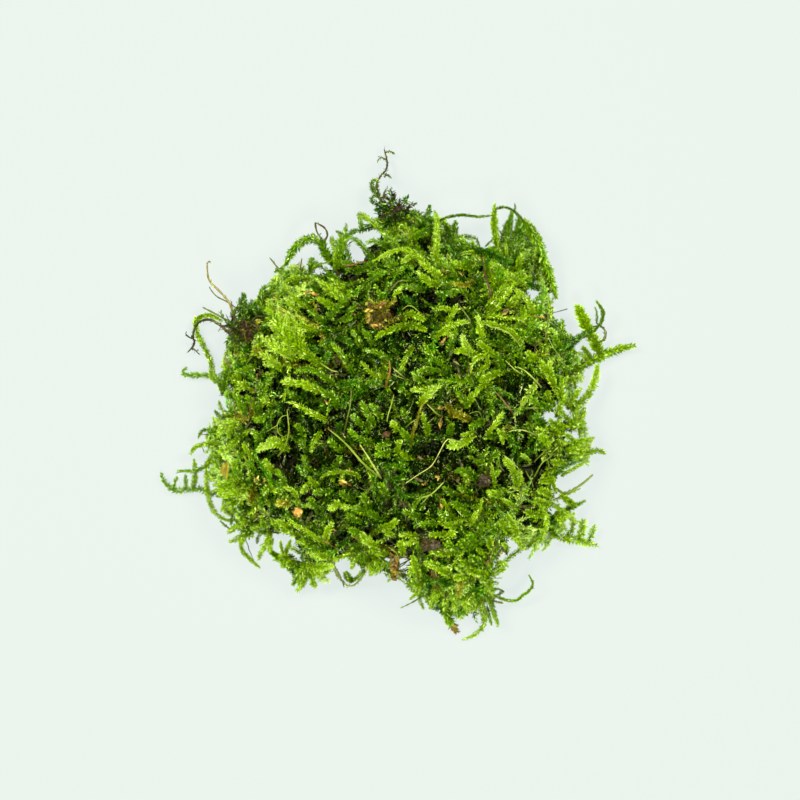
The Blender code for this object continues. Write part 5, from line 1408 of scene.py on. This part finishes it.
def grown_by_hand(skin, clump):
    """What lies on top of the clump, as growths of leaves and of bare stems and dead leaves."""
    rng = np.random.default_rng(LAID_SEED)
    halves, bare = (Growth(), Growth()), Growth()
    for row in HAND_LAID:
        item = laid(*row)
        path = laid_path(item, skin)
        width = min(item.width, FEATHERED - 2) * PIXEL
        leafy = halves[int(path[0, 0] > 0.0)]
        if item.kind in (L, F):
            stems = one_stem(path, width, leaf_tone(item.tone), item.hue, LAID_OPEN, rng)
            add_leaves(leafy, stems, LAID_LEAVES, rng, body=FULL_BODY)
            add_body(leafy, stems, rng, 5, 9, FULL_BODY)
            clump.press(path[2:], 0.5 * item.width * PIXEL + 0.5 * MM)
            if item.kind == F or item.width >= FEATHERED:
                reach = (item.branch or LAID_BRANCH_REACH * item.width) * PIXEL
                branches = branches_of(stems, LAID_BRANCH_GAP, np.array([reach]), rng, *FEATHER)
                branches = branches._replace(leaf=branches.leaf * LAID_BRANCH_LEAF)
                add_leaves(leafy, branches, LAID_BRANCH_LEAVES, rng, spread=FEATHER_LEAVES)
                add_body(leafy, branches, rng)
        elif item.kind == B:
            stems = one_stem(path, width, BARE_TONE * item.tone, item.hue, BARE_OPEN, rng)
            add_bark(bare, stems, LAID_BARK * width, rng, item.hue, sides=6, rings=18, taper=0.45, rough=0.25)
            clump.press(path[2:], 0.5 * width + 0.4 * MM)
        else:
            add_dead_leaves(bare, path, 0.65 * width, item.tone - DEAD_LEAF_DARKER, item.hue, rng)
            clump.press(path, 0.5 * width + 0.3 * MM)
    return halves, bare


def add_dead_leaves(growth, path, width, tone, hue, rng, spacing=0.45 * MM):
    """Curled dead leaves one after the other along a path."""
    count = max(int(lengths(path[None])[0] / spacing), 4)
    share = rng.uniform(0.0, 1.0, count)
    place, run = along(path[None], np.zeros(count, int), share)
    ahead = unit(run * rng.choice((-1.0, 1.0), count)[:, None] + rng.normal(0.0, 0.45, (count, 3)))
    up = UP + rng.normal(0.0, 0.55, (count, 3))
    normal = squared(up, ahead)
    length = width * rng.uniform(0.9, 1.8, count) + 0.3 * MM
    start = place - ahead * 0.5 * length[:, None] + rng.normal(0.0, 0.22, (count, 3)) * width
    tones = tone + rng.normal(0.0, 0.16, count)
    hues = np.clip(hue + rng.choice((-1, 0, 0, 1), count), 0, HUES - 1)
    band = np.broadcast_to(np.array(DEAD), (count, 2))
    curl = rng.normal(0.25, 0.25, count)
    add_blades(growth, FOLDED, start, ahead, normal, length, length * SLIMNESS, curl, tones, hues, band)


# The nodes that stand off the mass or lie on it

def stray_path(stray, skin):
    """A stray's points from its root, which is led on into the tangle."""
    knots = np.array(stray.route) * MM
    if knots.shape[1] == 2:
        flat = curve_through(knots, 2 * STEM_POINTS)
        places = triangles_of(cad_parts[stray.node])[0]
        apart = np.linalg.norm(flat[:, None] - places[None, :, :2], axis=2)
        near = np.argsort(apart, axis=1)[:, :10]
        height = places[near, 2].mean(1)
        for _ in range(2):
            height[1:-1] = (height[:-2] + height[1:-1] + height[2:]) / 3.0
        path = np.concatenate((flat, height[:, None] + LIFT_ON_TOP), axis=1)[::-1].copy()
        path[:4, 2] -= np.linspace(1.6 * MM, 0.0, 4)
        return path
    if stray.rooted:
        place, normal = skin.nearest(knots[-1:])
        knots = np.concatenate((knots, place - normal * ROOT_DEPTH))
    return curve_through(knots[::-1], 2 * STEM_POINTS)


def with_remnants(growth, stem, leaf, per_metre, rng, spread):
    """The few leaves that a bare stem keeps."""
    rags = stem._replace(tone=stem.tone * REMNANT_TONE, leaf=np.array([leaf * MM]), hue=np.array([1]))
    add_leaves(growth, rags, per_metre, rng, spread=spread, around=360.0)


def add_bare_stem(growth, stray, path, rng):
    """A bare stem with its remnants of leaves and its twigs."""
    width = stray.width * MM
    stem = one_stem(path, width, stray.tone, stray.hue, STRAY_BARE_OPEN, rng)
    add_bark(growth, stem, STRAY_BARK * width, rng, stray.hue, sides=6, rings=36, taper=0.45, rough=0.30)
    leaves = REMNANTS if stray.leaves is None else stray.leaves
    if leaves:
        with_remnants(growth, stem, 0.70, leaves, rng, (34.0, 30.0))
    for route in TWIGS.get(stray.node, ()):
        twig_path = curve_through(np.array(route) * MM, STEM_POINTS)
        twig = one_stem(twig_path, width, stray.tone, stray.hue, STRAY_BARE_OPEN, rng)
        add_bark(growth, twig, TWIG_BARK * width, rng, stray.hue, sides=5, rings=10, rough=0.30)
        with_remnants(growth, twig, 0.65, 1.5 * leaves, rng, (40.0, 30.0))


def add_leafy_stem(growth, stray, path, clump, rng):
    """A leafy stem, with side branches if it is a frond."""
    width = stray.width * MM
    stem = one_stem(path, 1.2 * width, leaf_tone(stray.tone), stray.hue, stray.open, rng)
    body = FULL_BODY if stray.leaves is None else OPEN_BODY
    add_leaves(growth, stem, stray.leaves or STRAY_LEAVES, rng, spread=(stray.open, 0.85 * stray.open),
               dead_from=DEAD_TIPS.get(stray.node, NO_DEAD_TIP), around=360.0, body=body)
    add_body(growth, stem, rng, 6, 24, body)
    if stray.kind == F:
        branches = branches_of(stem, STRAY_BRANCH_GAP, np.array([STRAY_BRANCH_REACH]), rng, *FEATHER)
        branches = branches._replace(leaf=branches.leaf * STRAY_BRANCH_LEAF)
        clump.press(path, 2.4 * MM)
        add_leaves(growth, branches, STRAY_BRANCH_LEAVES, rng, spread=FEATHER_LEAVES)
        add_body(growth, branches, rng)


def grown_stray(stray, skin, clump, rng):
    """A stray with the leafy shoots on it."""
    growth = Growth()
    for item in SIDE_SHOOTS.get(stray.node, ()):
        path = curve_through(np.array(item.route)[::-1] * MM, 2 * STEM_POINTS)
        shoot = one_stem(path, item.width * MM, item.tone, item.hue, SIDE_OPEN, rng)
        add_leaves(growth, shoot, SIDE_SHOOT_LEAVES, rng, around=360.0, body=FULL_BODY)
        add_body(growth, shoot, rng, 5, 16, FULL_BODY)
        clump.press(path, 0.5 * item.width * MM + 0.5 * MM)
    path = stray_path(stray, skin)
    clump.press(path[6:], 0.5 * stray.width * MM + 0.7 * MM)
    if stray.kind == B:
        add_bare_stem(growth, stray, path, rng)
    else:
        add_leafy_stem(growth, stray, path, clump, rng)
    return growth


# Materials

class Nodes:
    """A short way to wire shader nodes."""

    def __init__(self, name):
        self.material = bpy.data.materials.new(name)
        self.material.use_nodes = True
        self.tree = self.material.node_tree
        self.tree.nodes.clear()

    def node(self, kind, inputs=None, **settings):
        made = self.tree.nodes.new(kind)
        for key, value in settings.items():
            setattr(made, key, value)
        for key, value in (inputs or {}).items():
            self.put(made.inputs[key], value)
        return made

    def put(self, socket, value):
        if isinstance(value, bpy.types.NodeSocket):
            self.tree.links.new(value, socket)
        else:
            socket.default_value = value

    def math(self, operation, *values, clamp=False):
        made = self.node("ShaderNodeMath", dict(enumerate(values)), operation=operation, use_clamp=clamp)
        return made.outputs[0]

    def noise(self, place, scale, detail=3.0):
        made = self.node("ShaderNodeTexNoise", {"Vector": place, "Scale": scale, "Detail": detail})
        return made.outputs[0]

    def noise_across(self, x, y, scales, detail=3.0):
        """Noise over two values, with a scale for each."""
        scaled = {index: self.math("MULTIPLY", value, scale)
                  for index, (value, scale) in enumerate(zip((x, y), scales))}
        return self.noise(self.node("ShaderNodeCombineXYZ", scaled).outputs[0], 1.0, detail)

    def steeper(self, value, start, factor):
        """How far the value is over the start, times the factor, from 0 to 1."""
        return self.math("MULTIPLY", self.math("SUBTRACT", value, start), factor, clamp=True)

    def ramp(self, share, stops):
        made = self.node("ShaderNodeValToRGB", {"Fac": share})
        elements = made.color_ramp.elements
        while len(elements) > 1:
            elements.remove(elements[-1])
        for index, (place, colour) in enumerate(stops):
            element = elements[0] if index == 0 else elements.new(place)
            element.position = place
            element.color = (*colour, 1.0)
        return made.outputs["Color"]

    def mix(self, share, low, high, blend="MIX"):
        made = self.node("ShaderNodeMix", data_type="RGBA", blend_type=blend)
        for socket, value in ((made.inputs[0], share), (made.inputs[6], low), (made.inputs[7], high)):
            self.put(socket, value)
        return made.outputs[2]

    def scaled(self, colour, factor):
        """The colour, brighter or darker by a factor."""
        grey = self.node("ShaderNodeCombineXYZ", {0: factor, 1: factor, 2: factor}).outputs[0]
        return self.mix(1.0, colour, grey, blend="MULTIPLY")

    def finish(self, surface):
        output = self.node("ShaderNodeOutputMaterial")
        self.tree.links.new(surface.outputs[0], output.inputs["Surface"])
        return self.material


# Colours from dark to bright, linear: each at its place on the tone scale, whose dark and bright ends also
# carry painted shade and light
LIME = ((0.0, (0.002, 0.006, 0.0001)), (0.3, (0.044, 0.105, 0.0002)), (0.6, (0.190, 0.350, 0.0006)),
        (0.82, (0.36, 0.57, 0.002)), (1.0, (0.58, 0.78, 0.12)))
GREEN = ((0.0, (0.0004, 0.003, 0.0001)), (0.3, (0.008, 0.048, 0.0003)), (0.6, (0.056, 0.220, 0.001)),
         (0.82, (0.175, 0.43, 0.004)), (1.0, (0.46, 0.72, 0.16)))
OLD = ((0.0, (0.008, 0.008, 0.0006)), (0.3, (0.055, 0.060, 0.001)), (0.6, (0.20, 0.20, 0.004)),
       (0.82, (0.36, 0.36, 0.012)), (1.0, (0.52, 0.50, 0.04)))
STRAW = ((0.0, (0.030, 0.018, 0.003)), (0.5, (0.30, 0.19, 0.02)), (1.0, (0.72, 0.53, 0.12)))
RUST = ((0.0, (0.008, 0.004, 0.001)), (0.5, (0.11, 0.040, 0.006)), (1.0, (0.36, 0.17, 0.025)))
EARTH = ((0.0, (0.003, 0.0015, 0.0004)), (0.5, (0.034, 0.015, 0.003)), (1.0, (0.18, 0.095, 0.02)))
RED = ((0.0, (0.008, 0.003, 0.001)), (0.5, (0.105, 0.024, 0.006)), (1.0, (0.34, 0.11, 0.025)))
CREAM_BARK = ((0.0, (0.02, 0.035, 0.002)), (0.5, (0.16, 0.24, 0.012)), (0.8, (0.42, 0.46, 0.12)),
              (1.0, (0.66, 0.66, 0.42)))
GREEN_BARK = ((0.0, (0.008, 0.014, 0.001)), (0.5, (0.085, 0.115, 0.006)), (1.0, (0.34, 0.36, 0.05)))
DARK_BARK = ((0.0, (0.005, 0.003, 0.001)), (0.5, (0.038, 0.019, 0.005)), (1.0, (0.19, 0.11, 0.03)))
RED_BARK = ((0.0, (0.010, 0.004, 0.002)), (0.5, (0.12, 0.034, 0.008)), (0.8, (0.28, 0.10, 0.018)),
            (1.0, (0.52, 0.25, 0.04)))
# The pale colour at bright leaves' tips: partly their own, partly painted highlight
PALE_TIP_GLINT = (0.70, 0.86, 0.40, 1.0)

# Scales of the noise, along the columns of the leaf map or from column to column, and along a band
LEAF_GRAIN = (900.0, 46.0)
BARK_GRAIN = (7.3, 34.0)
# How much a value goes up by from 0 to 1, and where it starts: a leaf's brightness along it, across the
# cells and on its rib, how bright dead leaves and bark are across their grain, and how rough all are
ALONG_LEAF = (1.05, 0.38)
OVER_CELLS = (0.7, 0.65)
RIB, RIB_HALF_WIDTH = (0.16, 1.0), 0.05
OVER_GRAIN = (1.3, 0.35)
ROUGHER_IF_DEAD = (0.40, 0.03)
ROUGHER_GRAIN = 0.06
# Where along a leaf its tip turns pale, how fast, and how much more so on bright leaves: partly the leaves'
# own pale tips, partly painted highlight
TIP_FROM, TIP_STEEPNESS, TIP_TONE_POWER, TIP_SHARE = 0.62, 3.2, 8.0, 0.95
# Green patches on bark: how steep their edges are and how much they cover
PATCH_STEEPNESS, PATCH_SHARE = 6.0, 0.75
LIGHT_THROUGH = (-0.20, 0.28)  # the share of the light that goes through a leaf: less if it is dead
GLOW = (1.05, 1.20, 0.35, 1.0)  # what light turns to on its way through
WET_TINT = (0.90, 1.0, 0.42, 1.0)
LEAF_BUMP, SCRAP_BUMP = 0.045 * MM, 0.12 * MM
BUMP_STRENGTH = 0.8


def moss_material():
    """Reads the leaf map: the column gives tone and hue, and the band gives leaf, dead leaf or bark."""
    n = Nodes("moss")
    split = n.node("ShaderNodeSeparateXYZ", {0: n.node("ShaderNodeUVMap", uv_map="OFBake").outputs[0]})
    u, v = split.outputs[0], split.outputs[1]
    columns = n.math("MULTIPLY", u, float(COLUMNS))
    column = n.math("FLOOR", columns)
    across = n.math("ABSOLUTE", n.math("SUBTRACT", n.math("FRACT", columns), 0.5))
    level = n.math("FLOOR", n.math("DIVIDE", column, float(HUES)))
    tone = n.math("DIVIDE", level, TONES - 1.0)
    hue = n.math("SUBTRACT", column, n.math("MULTIPLY", level, float(HUES)))
    dead = n.math("GREATER_THAN", v, 0.5)
    bark = n.math("GREATER_THAN", v, 0.75)

    def by_hue(ramps):
        colour = n.ramp(tone, ramps[0])
        for index, stops in enumerate(ramps[1:]):
            colour = n.mix(n.math("GREATER_THAN", hue, index + 0.5), colour, n.ramp(tone, stops))
        return colour

    living_share = n.math("DIVIDE", v, 0.5, clamp=True)
    grain = n.noise_across(u, v, LEAF_GRAIN)
    fresh = n.mix(n.math("DIVIDE", hue, 2.0, clamp=True), n.ramp(tone, LIME), n.ramp(tone, GREEN))
    leaf = n.mix(n.math("GREATER_THAN", hue, OLIVE - 0.5), fresh, n.ramp(tone, OLD))
    along_it = n.math("MULTIPLY_ADD", living_share, *ALONG_LEAF)
    rib = n.math("MULTIPLY_ADD", n.math("LESS_THAN", across, RIB_HALF_WIDTH), *RIB)
    cells = n.math("MULTIPLY_ADD", grain, *OVER_CELLS)
    leaf = n.scaled(leaf, n.math("MULTIPLY", n.math("MULTIPLY", along_it, rib), cells))
    # Pale tips on bright leaves: partly the leaves' own colour, partly painted highlight
    at_tip = n.steeper(living_share, TIP_FROM, TIP_STEEPNESS)
    pale = n.math("MULTIPLY", n.math("MULTIPLY", at_tip, n.math("POWER", tone, TIP_TONE_POWER)), TIP_SHARE)
    leaf = n.mix(pale, leaf, PALE_TIP_GLINT)
    grainy = n.math("MULTIPLY_ADD", grain, *OVER_GRAIN)
    withered = n.scaled(by_hue((STRAW, RUST, EARTH, RED)), grainy)
    patches = n.steeper(n.noise_across(column, v, BARK_GRAIN, 1.0), 0.50, PATCH_STEEPNESS)
    bark_colour = by_hue((CREAM_BARK, GREEN_BARK, DARK_BARK, RED_BARK))
    old_bark = n.mix(n.math("MULTIPLY", patches, PATCH_SHARE), bark_colour, n.ramp(tone, GREEN_BARK))
    woody = n.scaled(n.mix(n.math("LESS_THAN", hue, 0.5), old_bark, n.ramp(tone, CREAM_BARK)), grainy)
    colour = n.mix(bark, n.mix(dead, leaf, withered), woody)

    rough = n.math("MULTIPLY_ADD", grain, ROUGHER_GRAIN, n.math("MULTIPLY_ADD", dead, *ROUGHER_IF_DEAD))
    bump = n.node("ShaderNodeBump", {"Height": grain, "Strength": BUMP_STRENGTH, "Distance": LEAF_BUMP})
    skin = n.node("ShaderNodeBsdfPrincipled", {
        "Base Color": colour, "Roughness": rough, "Normal": bump.outputs[0], "Specular IOR Level": 1.0,
        "Specular Tint": WET_TINT,
    })
    glow = n.mix(1.0, colour, GLOW, blend="MULTIPLY")
    through = n.node("ShaderNodeBsdfTranslucent", {"Color": glow})
    thin = n.math("MULTIPLY_ADD", dead, *LIGHT_THROUGH)
    return n.finish(n.node("ShaderNodeMixShader", {0: thin, 1: skin.outputs[0], 2: through.outputs[0]}))


# How each loose scrap looks: colours from its pits, dark partly as painted shade, to its bright parts, the
# size of its grain in millimetres, how uneven it is and how rough its skin
Finish = namedtuple("Finish", "stops grain uneven roughness")
SCRAP_FINISHES = {
    "humus": Finish((
        (0.3, (0.002, 0.002, 0.001)), (0.5, (0.009, 0.006, 0.002)), (0.62, (0.042, 0.025, 0.008)),
        (0.75, (0.010, 0.008, 0.003)),
    ), 0.30, 0.42, 0.85),
    "bark_grey": Finish((
        (0.36, (0.002, 0.0015, 0.001)), (0.48, (0.010, 0.007, 0.004)), (0.57, (0.070, 0.052, 0.034)),
        (0.66, (0.17, 0.135, 0.095)), (0.76, (0.02, 0.015, 0.008)),
    ), 0.22, 0.34, 0.50),
    "stem_brown": Finish((
        (0.3, (0.008, 0.003, 0.001)), (0.5, (0.045, 0.017, 0.006)), (0.7, (0.17, 0.08, 0.028)),
    ), 0.30, 0.22, 0.35),
    "crumb_orange": Finish((
        (0.36, (0.14, 0.05, 0.006)), (0.5, (0.50, 0.24, 0.035)), (0.64, (0.78, 0.52, 0.14)),
    ), 0.50, 0.46, 0.60),
    "leaf_yellow": Finish((
        (0.3, (0.07, 0.065, 0.003)), (0.5, (0.19, 0.165, 0.006)), (0.7, (0.34, 0.29, 0.02)),
    ), 0.60, 0.06, 0.35),
}


def scrap_material(name):
    finish = SCRAP_FINISHES[name]
    n = Nodes(f"scrap_{name}")
    place = n.node("ShaderNodeTexCoord").outputs["Object"]
    grain = n.noise(place, 1.0 / (finish.grain * MM), 5.0)
    fine = n.noise(place, 4.0 / (finish.grain * MM), 2.0)
    mixed = n.math("MULTIPLY_ADD", fine, 0.35, n.math("MULTIPLY", grain, 0.72))
    bump = n.node("ShaderNodeBump", {"Height": mixed, "Strength": BUMP_STRENGTH, "Distance": SCRAP_BUMP})
    rough = n.math("MULTIPLY_ADD", fine, 0.25, finish.roughness - 0.12)
    # The colour follows the bump's height: darker in the pits, partly as painted shade
    return n.finish(n.node("ShaderNodeBsdfPrincipled", {
        "Base Color": n.ramp(mixed, finish.stops), "Roughness": rough, "Normal": bump.outputs[0],
        "Specular IOR Level": 0.25,
    }))


def shown(name, mesh, material, node):
    """A piece in the scene that stands for a CAD node."""
    thing = bpy.data.objects.new(name, mesh)
    thing.data.materials.append(material)
    bpy.context.scene.collection.objects.link(thing)
    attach(thing, "root")
    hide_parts(node)
    return thing


# Loose scraps: the node, its slot, whose finish it is as uneven as, the finish that it has, how many crumbs
# it is caked together from (none for one that is whole), how many dead leaves and fibres stick out of it, how
# many rootlets and how many small shoots, how bright and what hue these are, and the hue of the leaves
Scrap = namedtuple("Scrap", "node slot finish crumbs bits roots sprigs tone hue leaf_hue", defaults=(2,))
SCRAPS = (
    Scrap("humus_top", "humus", "humus", 8, 26, 8, 34, 0.22, 2, 2),
    Scrap("root_mass_left", "humus", "humus", 12, 60, 24, 30, 0.22, 2, 1),
    Scrap("scrap_bark_near", "bark_grey", "bark_grey", 18, 46, 10, 0, 0.22, 2),
    Scrap("scrap_bark_right", "bark_grey", "bark_grey", 14, 40, 10, 0, 0.20, 2),
    Scrap("dead_leaves_centre", "stem_brown", "stem_brown", 2, 16, 2, 9, 0.30, 0, OLIVE),
    Scrap("crumb_orange", "crumb_orange", "crumb_orange", 0, 10, 0, 0, 0.50, 1),
    Scrap("bead_brown", "stem_brown", "stem_brown", 0, 0, 0, 0, 0.5, 1),
    Scrap("leaf_yellow_wedge", "leaf_yellow", "leaf_yellow", 0, 0, 0, 0, 0.8, 0),
    Scrap("scrap_orange_near", "crumb_orange", "leaf_yellow", 5, 30, 3, 0, 0.42, 1),
)
CRUMB_SIZES = (0.25 * MM, 0.52 * MM)  # half widths
SCRAP_EDGE = 0.16 * MM  # the size of a scrap's facets
SCRAP_CUTS = 4  # at most
SCRAP_BUMPS = ((0.7, 1.1), (0.5, 2.7), (0.3, 6.0))  # how high, and how many to a millimetre
FIBRE_WIDTH = 0.12 * MM
BIT_LENGTHS, ROOT_LENGTHS, SPRIG_LENGTHS = (0.5, 1.6), (1.6, 5.0), (2.0, 4.2)  # millimetres
CRUMB_CLEARANCE = 0.6 * MM  # how far round a scrap the random fronds keep under it


def caked(scrap, rng):
    """Crumbs spread over the CAD scrap, their middles between its middle and its skin."""
    places, corners = triangles_of(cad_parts[scrap.node])
    centre = places.mean(0)
    thick = 0.5 * np.ptp(places, axis=0).min()
    shape = bmesh.new()
    for face in rng.integers(0, len(corners), scrap.crumbs):
        size = min(rng.uniform(*CRUMB_SIZES), 1.2 * thick)
        place = blended(centre, places[corners[face]].mean(0), rng.uniform(0.3, 1.0) ** 0.5)
        turn = Matrix.Rotation(rng.uniform(0.0, math.tau), 4, Vector(rng.normal(0.0, 1.0, 3)))
        stretch = Matrix.Diagonal((*rng.uniform(0.6, 1.35, 3), 1.0))
        pose = Matrix.Translation(place) @ turn @ stretch
        bmesh.ops.create_icosphere(shape, subdivisions=1, radius=size, matrix=pose)
    return shape


def scrap_mesh(scrap, rng):
    """The scrap, cut finer and roughened."""
    uneven = SCRAP_FINISHES[scrap.slot].uneven * MM
    if scrap.crumbs:
        shape = caked(scrap, rng)
    else:
        shape = bmesh.new()
        shape.from_mesh(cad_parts[scrap.node].data)
    bmesh.ops.triangulate(shape, faces=shape.faces)
    for _ in range(SCRAP_CUTS):
        long_edges = [edge for edge in shape.edges if edge.calc_length() > 2 * SCRAP_EDGE]
        if not long_edges:
            break
        bmesh.ops.subdivide_edges(shape, edges=long_edges, cuts=1, smooth=0.4)
        bmesh.ops.triangulate(shape, faces=shape.faces)
    shape.normal_update()
    moved = []
    for vertex in shape.verts:
        spot = vertex.co / MM
        push = sum(height * noise.noise(spot * rate) for height, rate in SCRAP_BUMPS)
        moved.append(vertex.co + vertex.normal * push * uneven)
    for vertex, place in zip(shape.verts, moved):
        vertex.co = place
    mesh = bpy.data.meshes.new(scrap.node)
    shape.to_mesh(mesh)
    shape.free()
    mesh.validate()
    mesh.shade_flat()
    return mesh


def scrap_bits(scrap, rng):
    """Dead leaves, fibres, rootlets and small shoots that lie on and stick out of a scrap."""
    growth = Growth()
    places, corners = triangles_of(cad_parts[scrap.node])
    centre = places.mean(0)
    if scrap.roots:
        add_rootlets(growth, scrap, places, rng)
    if scrap.sprigs:
        add_sprigs(growth, scrap, places, rng)
    face = rng.integers(0, len(corners), scrap.bits)
    spot = places[corners[face]].mean(1)
    out = unit(spot - centre + 1e-9)
    facing = unit(out + np.array((0.0, 0.0, 0.5)) + rng.normal(0.0, 0.5, (scrap.bits, 3)))
    ahead = squared(rng.normal(0.0, 1.0, (scrap.bits, 3)) + 0.4 * out, facing)
    length = rng.uniform(*BIT_LENGTHS, scrap.bits) * MM
    fibre = rng.uniform(0.0, 1.0, scrap.bits) < 0.5
    width = np.where(fibre, FIBRE_WIDTH, SLIMNESS * length)
    tone = scrap.tone + rng.normal(0.0, 0.13, scrap.bits)
    hue = np.clip(scrap.hue + rng.choice((-1, 0, 0, 1), scrap.bits), 0, HUES - 1)
    band = np.broadcast_to(np.array(DEAD), (scrap.bits, 2))
    start = spot - ahead * 0.4 * length[:, None]
    curl = rng.normal(0.2, 0.3, scrap.bits)
    add_blades(growth, FOLDED, start, ahead, facing, length, width, curl, tone, hue, band)
    return growth


def crooked(count, places, reach, rng):
    """Crooked paths out of a scrap: (paths, the way that each goes)."""
    start = places.mean(0) + rng.uniform(-0.4, 0.4, (count, 3)) * np.ptp(places, axis=0)
    way = unit(rng.normal(0.0, 1.0, (count, 3)) * np.array((1.0, 1.0, 0.3)) + np.array((0.0, 0.0, 0.12)))
    reach = rng.uniform(*reach, count)[:, None] * MM
    wander = rng.normal(0.0, 0.22, (3, count, 3)) * np.array((1.0, 1.0, 0.5))
    points = [start + reach * (way * share + turn) for share, turn in zip((0.33, 0.66, 1.0), wander)]
    return bezier(start, *points, STEM_POINTS), way


def add_rootlets(growth, scrap, places, rng):
    path, way = crooked(scrap.roots, places, ROOT_LENGTHS, rng)
    tone = rng.uniform(0.05, 0.50, scrap.roots)
    roots = Stems(path, squared(UP, way), tone, tone, tone, tone > 0)
    hue = rng.choice((1, 2, 2, 3), scrap.roots)
    half = rng.uniform(0.06, 0.20, scrap.roots) * MM
    add_bark(growth, roots, half, rng, hue, sides=4, rings=9, rough=0.25)


def add_sprigs(growth, scrap, places, rng):
    """Small old shoots, some of them dead."""
    path, way = crooked(scrap.sprigs, places, SPRIG_LENGTHS, rng)
    tone = scrap.tone + rng.uniform(-0.05, 0.22, scrap.sprigs)
    hue = np.full(scrap.sprigs, scrap.leaf_hue)
    leaf = rng.uniform(0.7, 1.05, scrap.sprigs) * MM
    life = rng.uniform(0.0, 1.0, scrap.sprigs) < 0.8
    sprigs = Stems(path, squared(UP, way), tone, hue, leaf, life)
    add_leaves(growth, sprigs, SPRIG_LEAVES, rng, around=330.0)
    add_bark(growth, sprigs, 0.14 * MM, rng, 2, sides=4, rings=6)


# The moss, piece by piece

# Seeds of the random draws: of listed shoots, of strays and scraps, of litter, and of a layer's leaves,
# over the layer's own
LAID_SEED, STRAY_SEED, LITTER_SEED, LEAF_SEED = 40, 50, 9, 100


def show_moss(name, growth, moss):
    """A piece of the tangle."""
    shown(name, growth.mesh(name), moss, TANGLE)


def show_laid(skin, clump, moss):
    leafy, bare = grown_by_hand(skin, clump)
    for side, growth in enumerate(leafy):
        show_moss(f"moss_laid_{side + 1}", growth, moss)
    show_moss("moss_laid_bare", bare, moss)


def show_scrap(scrap, clump, moss, rng):
    name = f"{scrap.node}_rough"
    piece = shown(name, scrap_mesh(scrap, rng), scrap_material(scrap.finish), scrap.node)
    clump.press(triangles_of(piece)[0], CRUMB_CLEARANCE)
    if scrap.bits:
        name = f"{scrap.node}_bits"
        shown(name, scrap_bits(scrap, rng).mesh(name), moss, scrap.node)


def show_layer(layer, skin, clump, moss):
    """A layer of fronds as pieces, one for each sector of the clump."""
    mains, branches = grown_fronds(skin, clump, layer)
    rng = np.random.default_rng(layer.seed + LEAF_SEED)
    for sector in range(layer.pieces):
        growth = Growth()
        for stems, per_metre, rings in ((mains, AXIS_LEAVES, 6), (branches, BRANCH_LEAVES, 3)):
            middle = stems.path[:, 0]
            turn = (np.arctan2(middle[:, 1], middle[:, 0]) / math.tau) % 1.0
            own = some(stems, np.floor(turn * layer.pieces).astype(int) == sector)
            add_leaves(growth, own, per_metre * layer.leaves, rng)
            add_body(growth, own, rng, rings=rings)
        show_moss(f"{layer.name}_{sector + 1}", growth, moss)


# The stage

# Name, place, width and power
LAMPS = (
    ("lamp_left", (-0.22, 0.14, 0.62), 0.15, 6.0),
    ("lamp_right", (0.20, 0.18, 0.62), 0.13, 4.0),
    ("lamp_near", (0.04, -0.24, 0.62), 0.13, 3.7),
)
LAMP_COLOUR = (1.0, 0.98, 0.80)
WORLD_COLOUR, WORLD_STRENGTH = (0.92, 1.0, 0.62, 1.0), 0.015
FLOOR_HALF = 1.5  # metres
FLOOR_COLOUR = (0.831, 0.913, 0.863)
# The floor glows by itself, so that its shadows are as faint as the photo's
FLOOR_GLOW = (0.890, 0.889, 0.912)  # over its colour
FLOOR_GLOW_SHARE = 0.94


def stage():
    """A plain pale floor, soft studio light and a camera straight above."""
    scene = bpy.context.scene
    scene.view_settings.view_transform = "Standard"
    world = bpy.data.worlds.new("studio")
    world.use_nodes = True
    background = world.node_tree.nodes["Background"]
    background.inputs["Color"].default_value = WORLD_COLOUR
    background.inputs["Strength"].default_value = WORLD_STRENGTH
    scene.world = world

    n = Nodes("floor_pale")
    glow = [part * factor for part, factor in zip(FLOOR_COLOUR, FLOOR_GLOW)]
    matt = n.node("ShaderNodeBsdfDiffuse", {"Color": (*FLOOR_COLOUR, 1.0)}).outputs[0]
    bright = n.node("ShaderNodeEmission", {"Color": (*glow, 1.0)}).outputs[0]
    made = n.finish(n.node("ShaderNodeMixShader", {0: FLOOR_GLOW_SHARE, 1: matt, 2: bright}))
    mesh = bpy.data.meshes.new("floor")
    corners = [(x * FLOOR_HALF, y * FLOOR_HALF, 0.0) for x, y in ((-1, -1), (1, -1), (1, 1), (-1, 1))]
    mesh.from_pydata(corners, [], [(0, 1, 2, 3)])
    mesh.materials.append(made)
    floor = bpy.data.objects.new("floor", mesh)
    scene.collection.objects.link(floor)

    for name, place, size, power in LAMPS:
        light = bpy.data.lights.new(name, "AREA")
        light.size = size
        light.energy = power
        light.color = LAMP_COLOUR
        lamp = bpy.data.objects.new(name, light)
        lamp.location = place
        lamp.rotation_euler = (-Vector(place)).to_track_quat("-Z", "Y").to_euler()
        scene.collection.objects.link(lamp)

    camera = bpy.data.objects.new("camera", bpy.data.cameras.new("camera"))
    camera.data.lens = LENS
    camera.data.sensor_width = SENSOR
    camera.data.sensor_fit = "HORIZONTAL"
    camera.location = (*PHOTO_CENTRE, CAMERA_HEIGHT)
    scene.collection.objects.link(camera)
    scene.camera = camera


def main():
    skin = Skin(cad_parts[TANGLE])
    clump = Clump(skin)
    moss = moss_material()
    show_laid(skin, clump, moss)
    rng = np.random.default_rng(STRAY_SEED)
    for stray in STRAYS:
        name = f"{stray.node}_grown"
        mesh = grown_stray(stray, skin, clump, rng).mesh(name)
        shown(name, mesh, moss, stray.node)
    for scrap in SCRAPS:
        show_scrap(scrap, clump, moss, rng)
    for layer in LAYERS:
        show_layer(layer, skin, clump, moss)
    show_moss("moss_litter", grown_litter(skin, clump), moss)
    stage()


main()
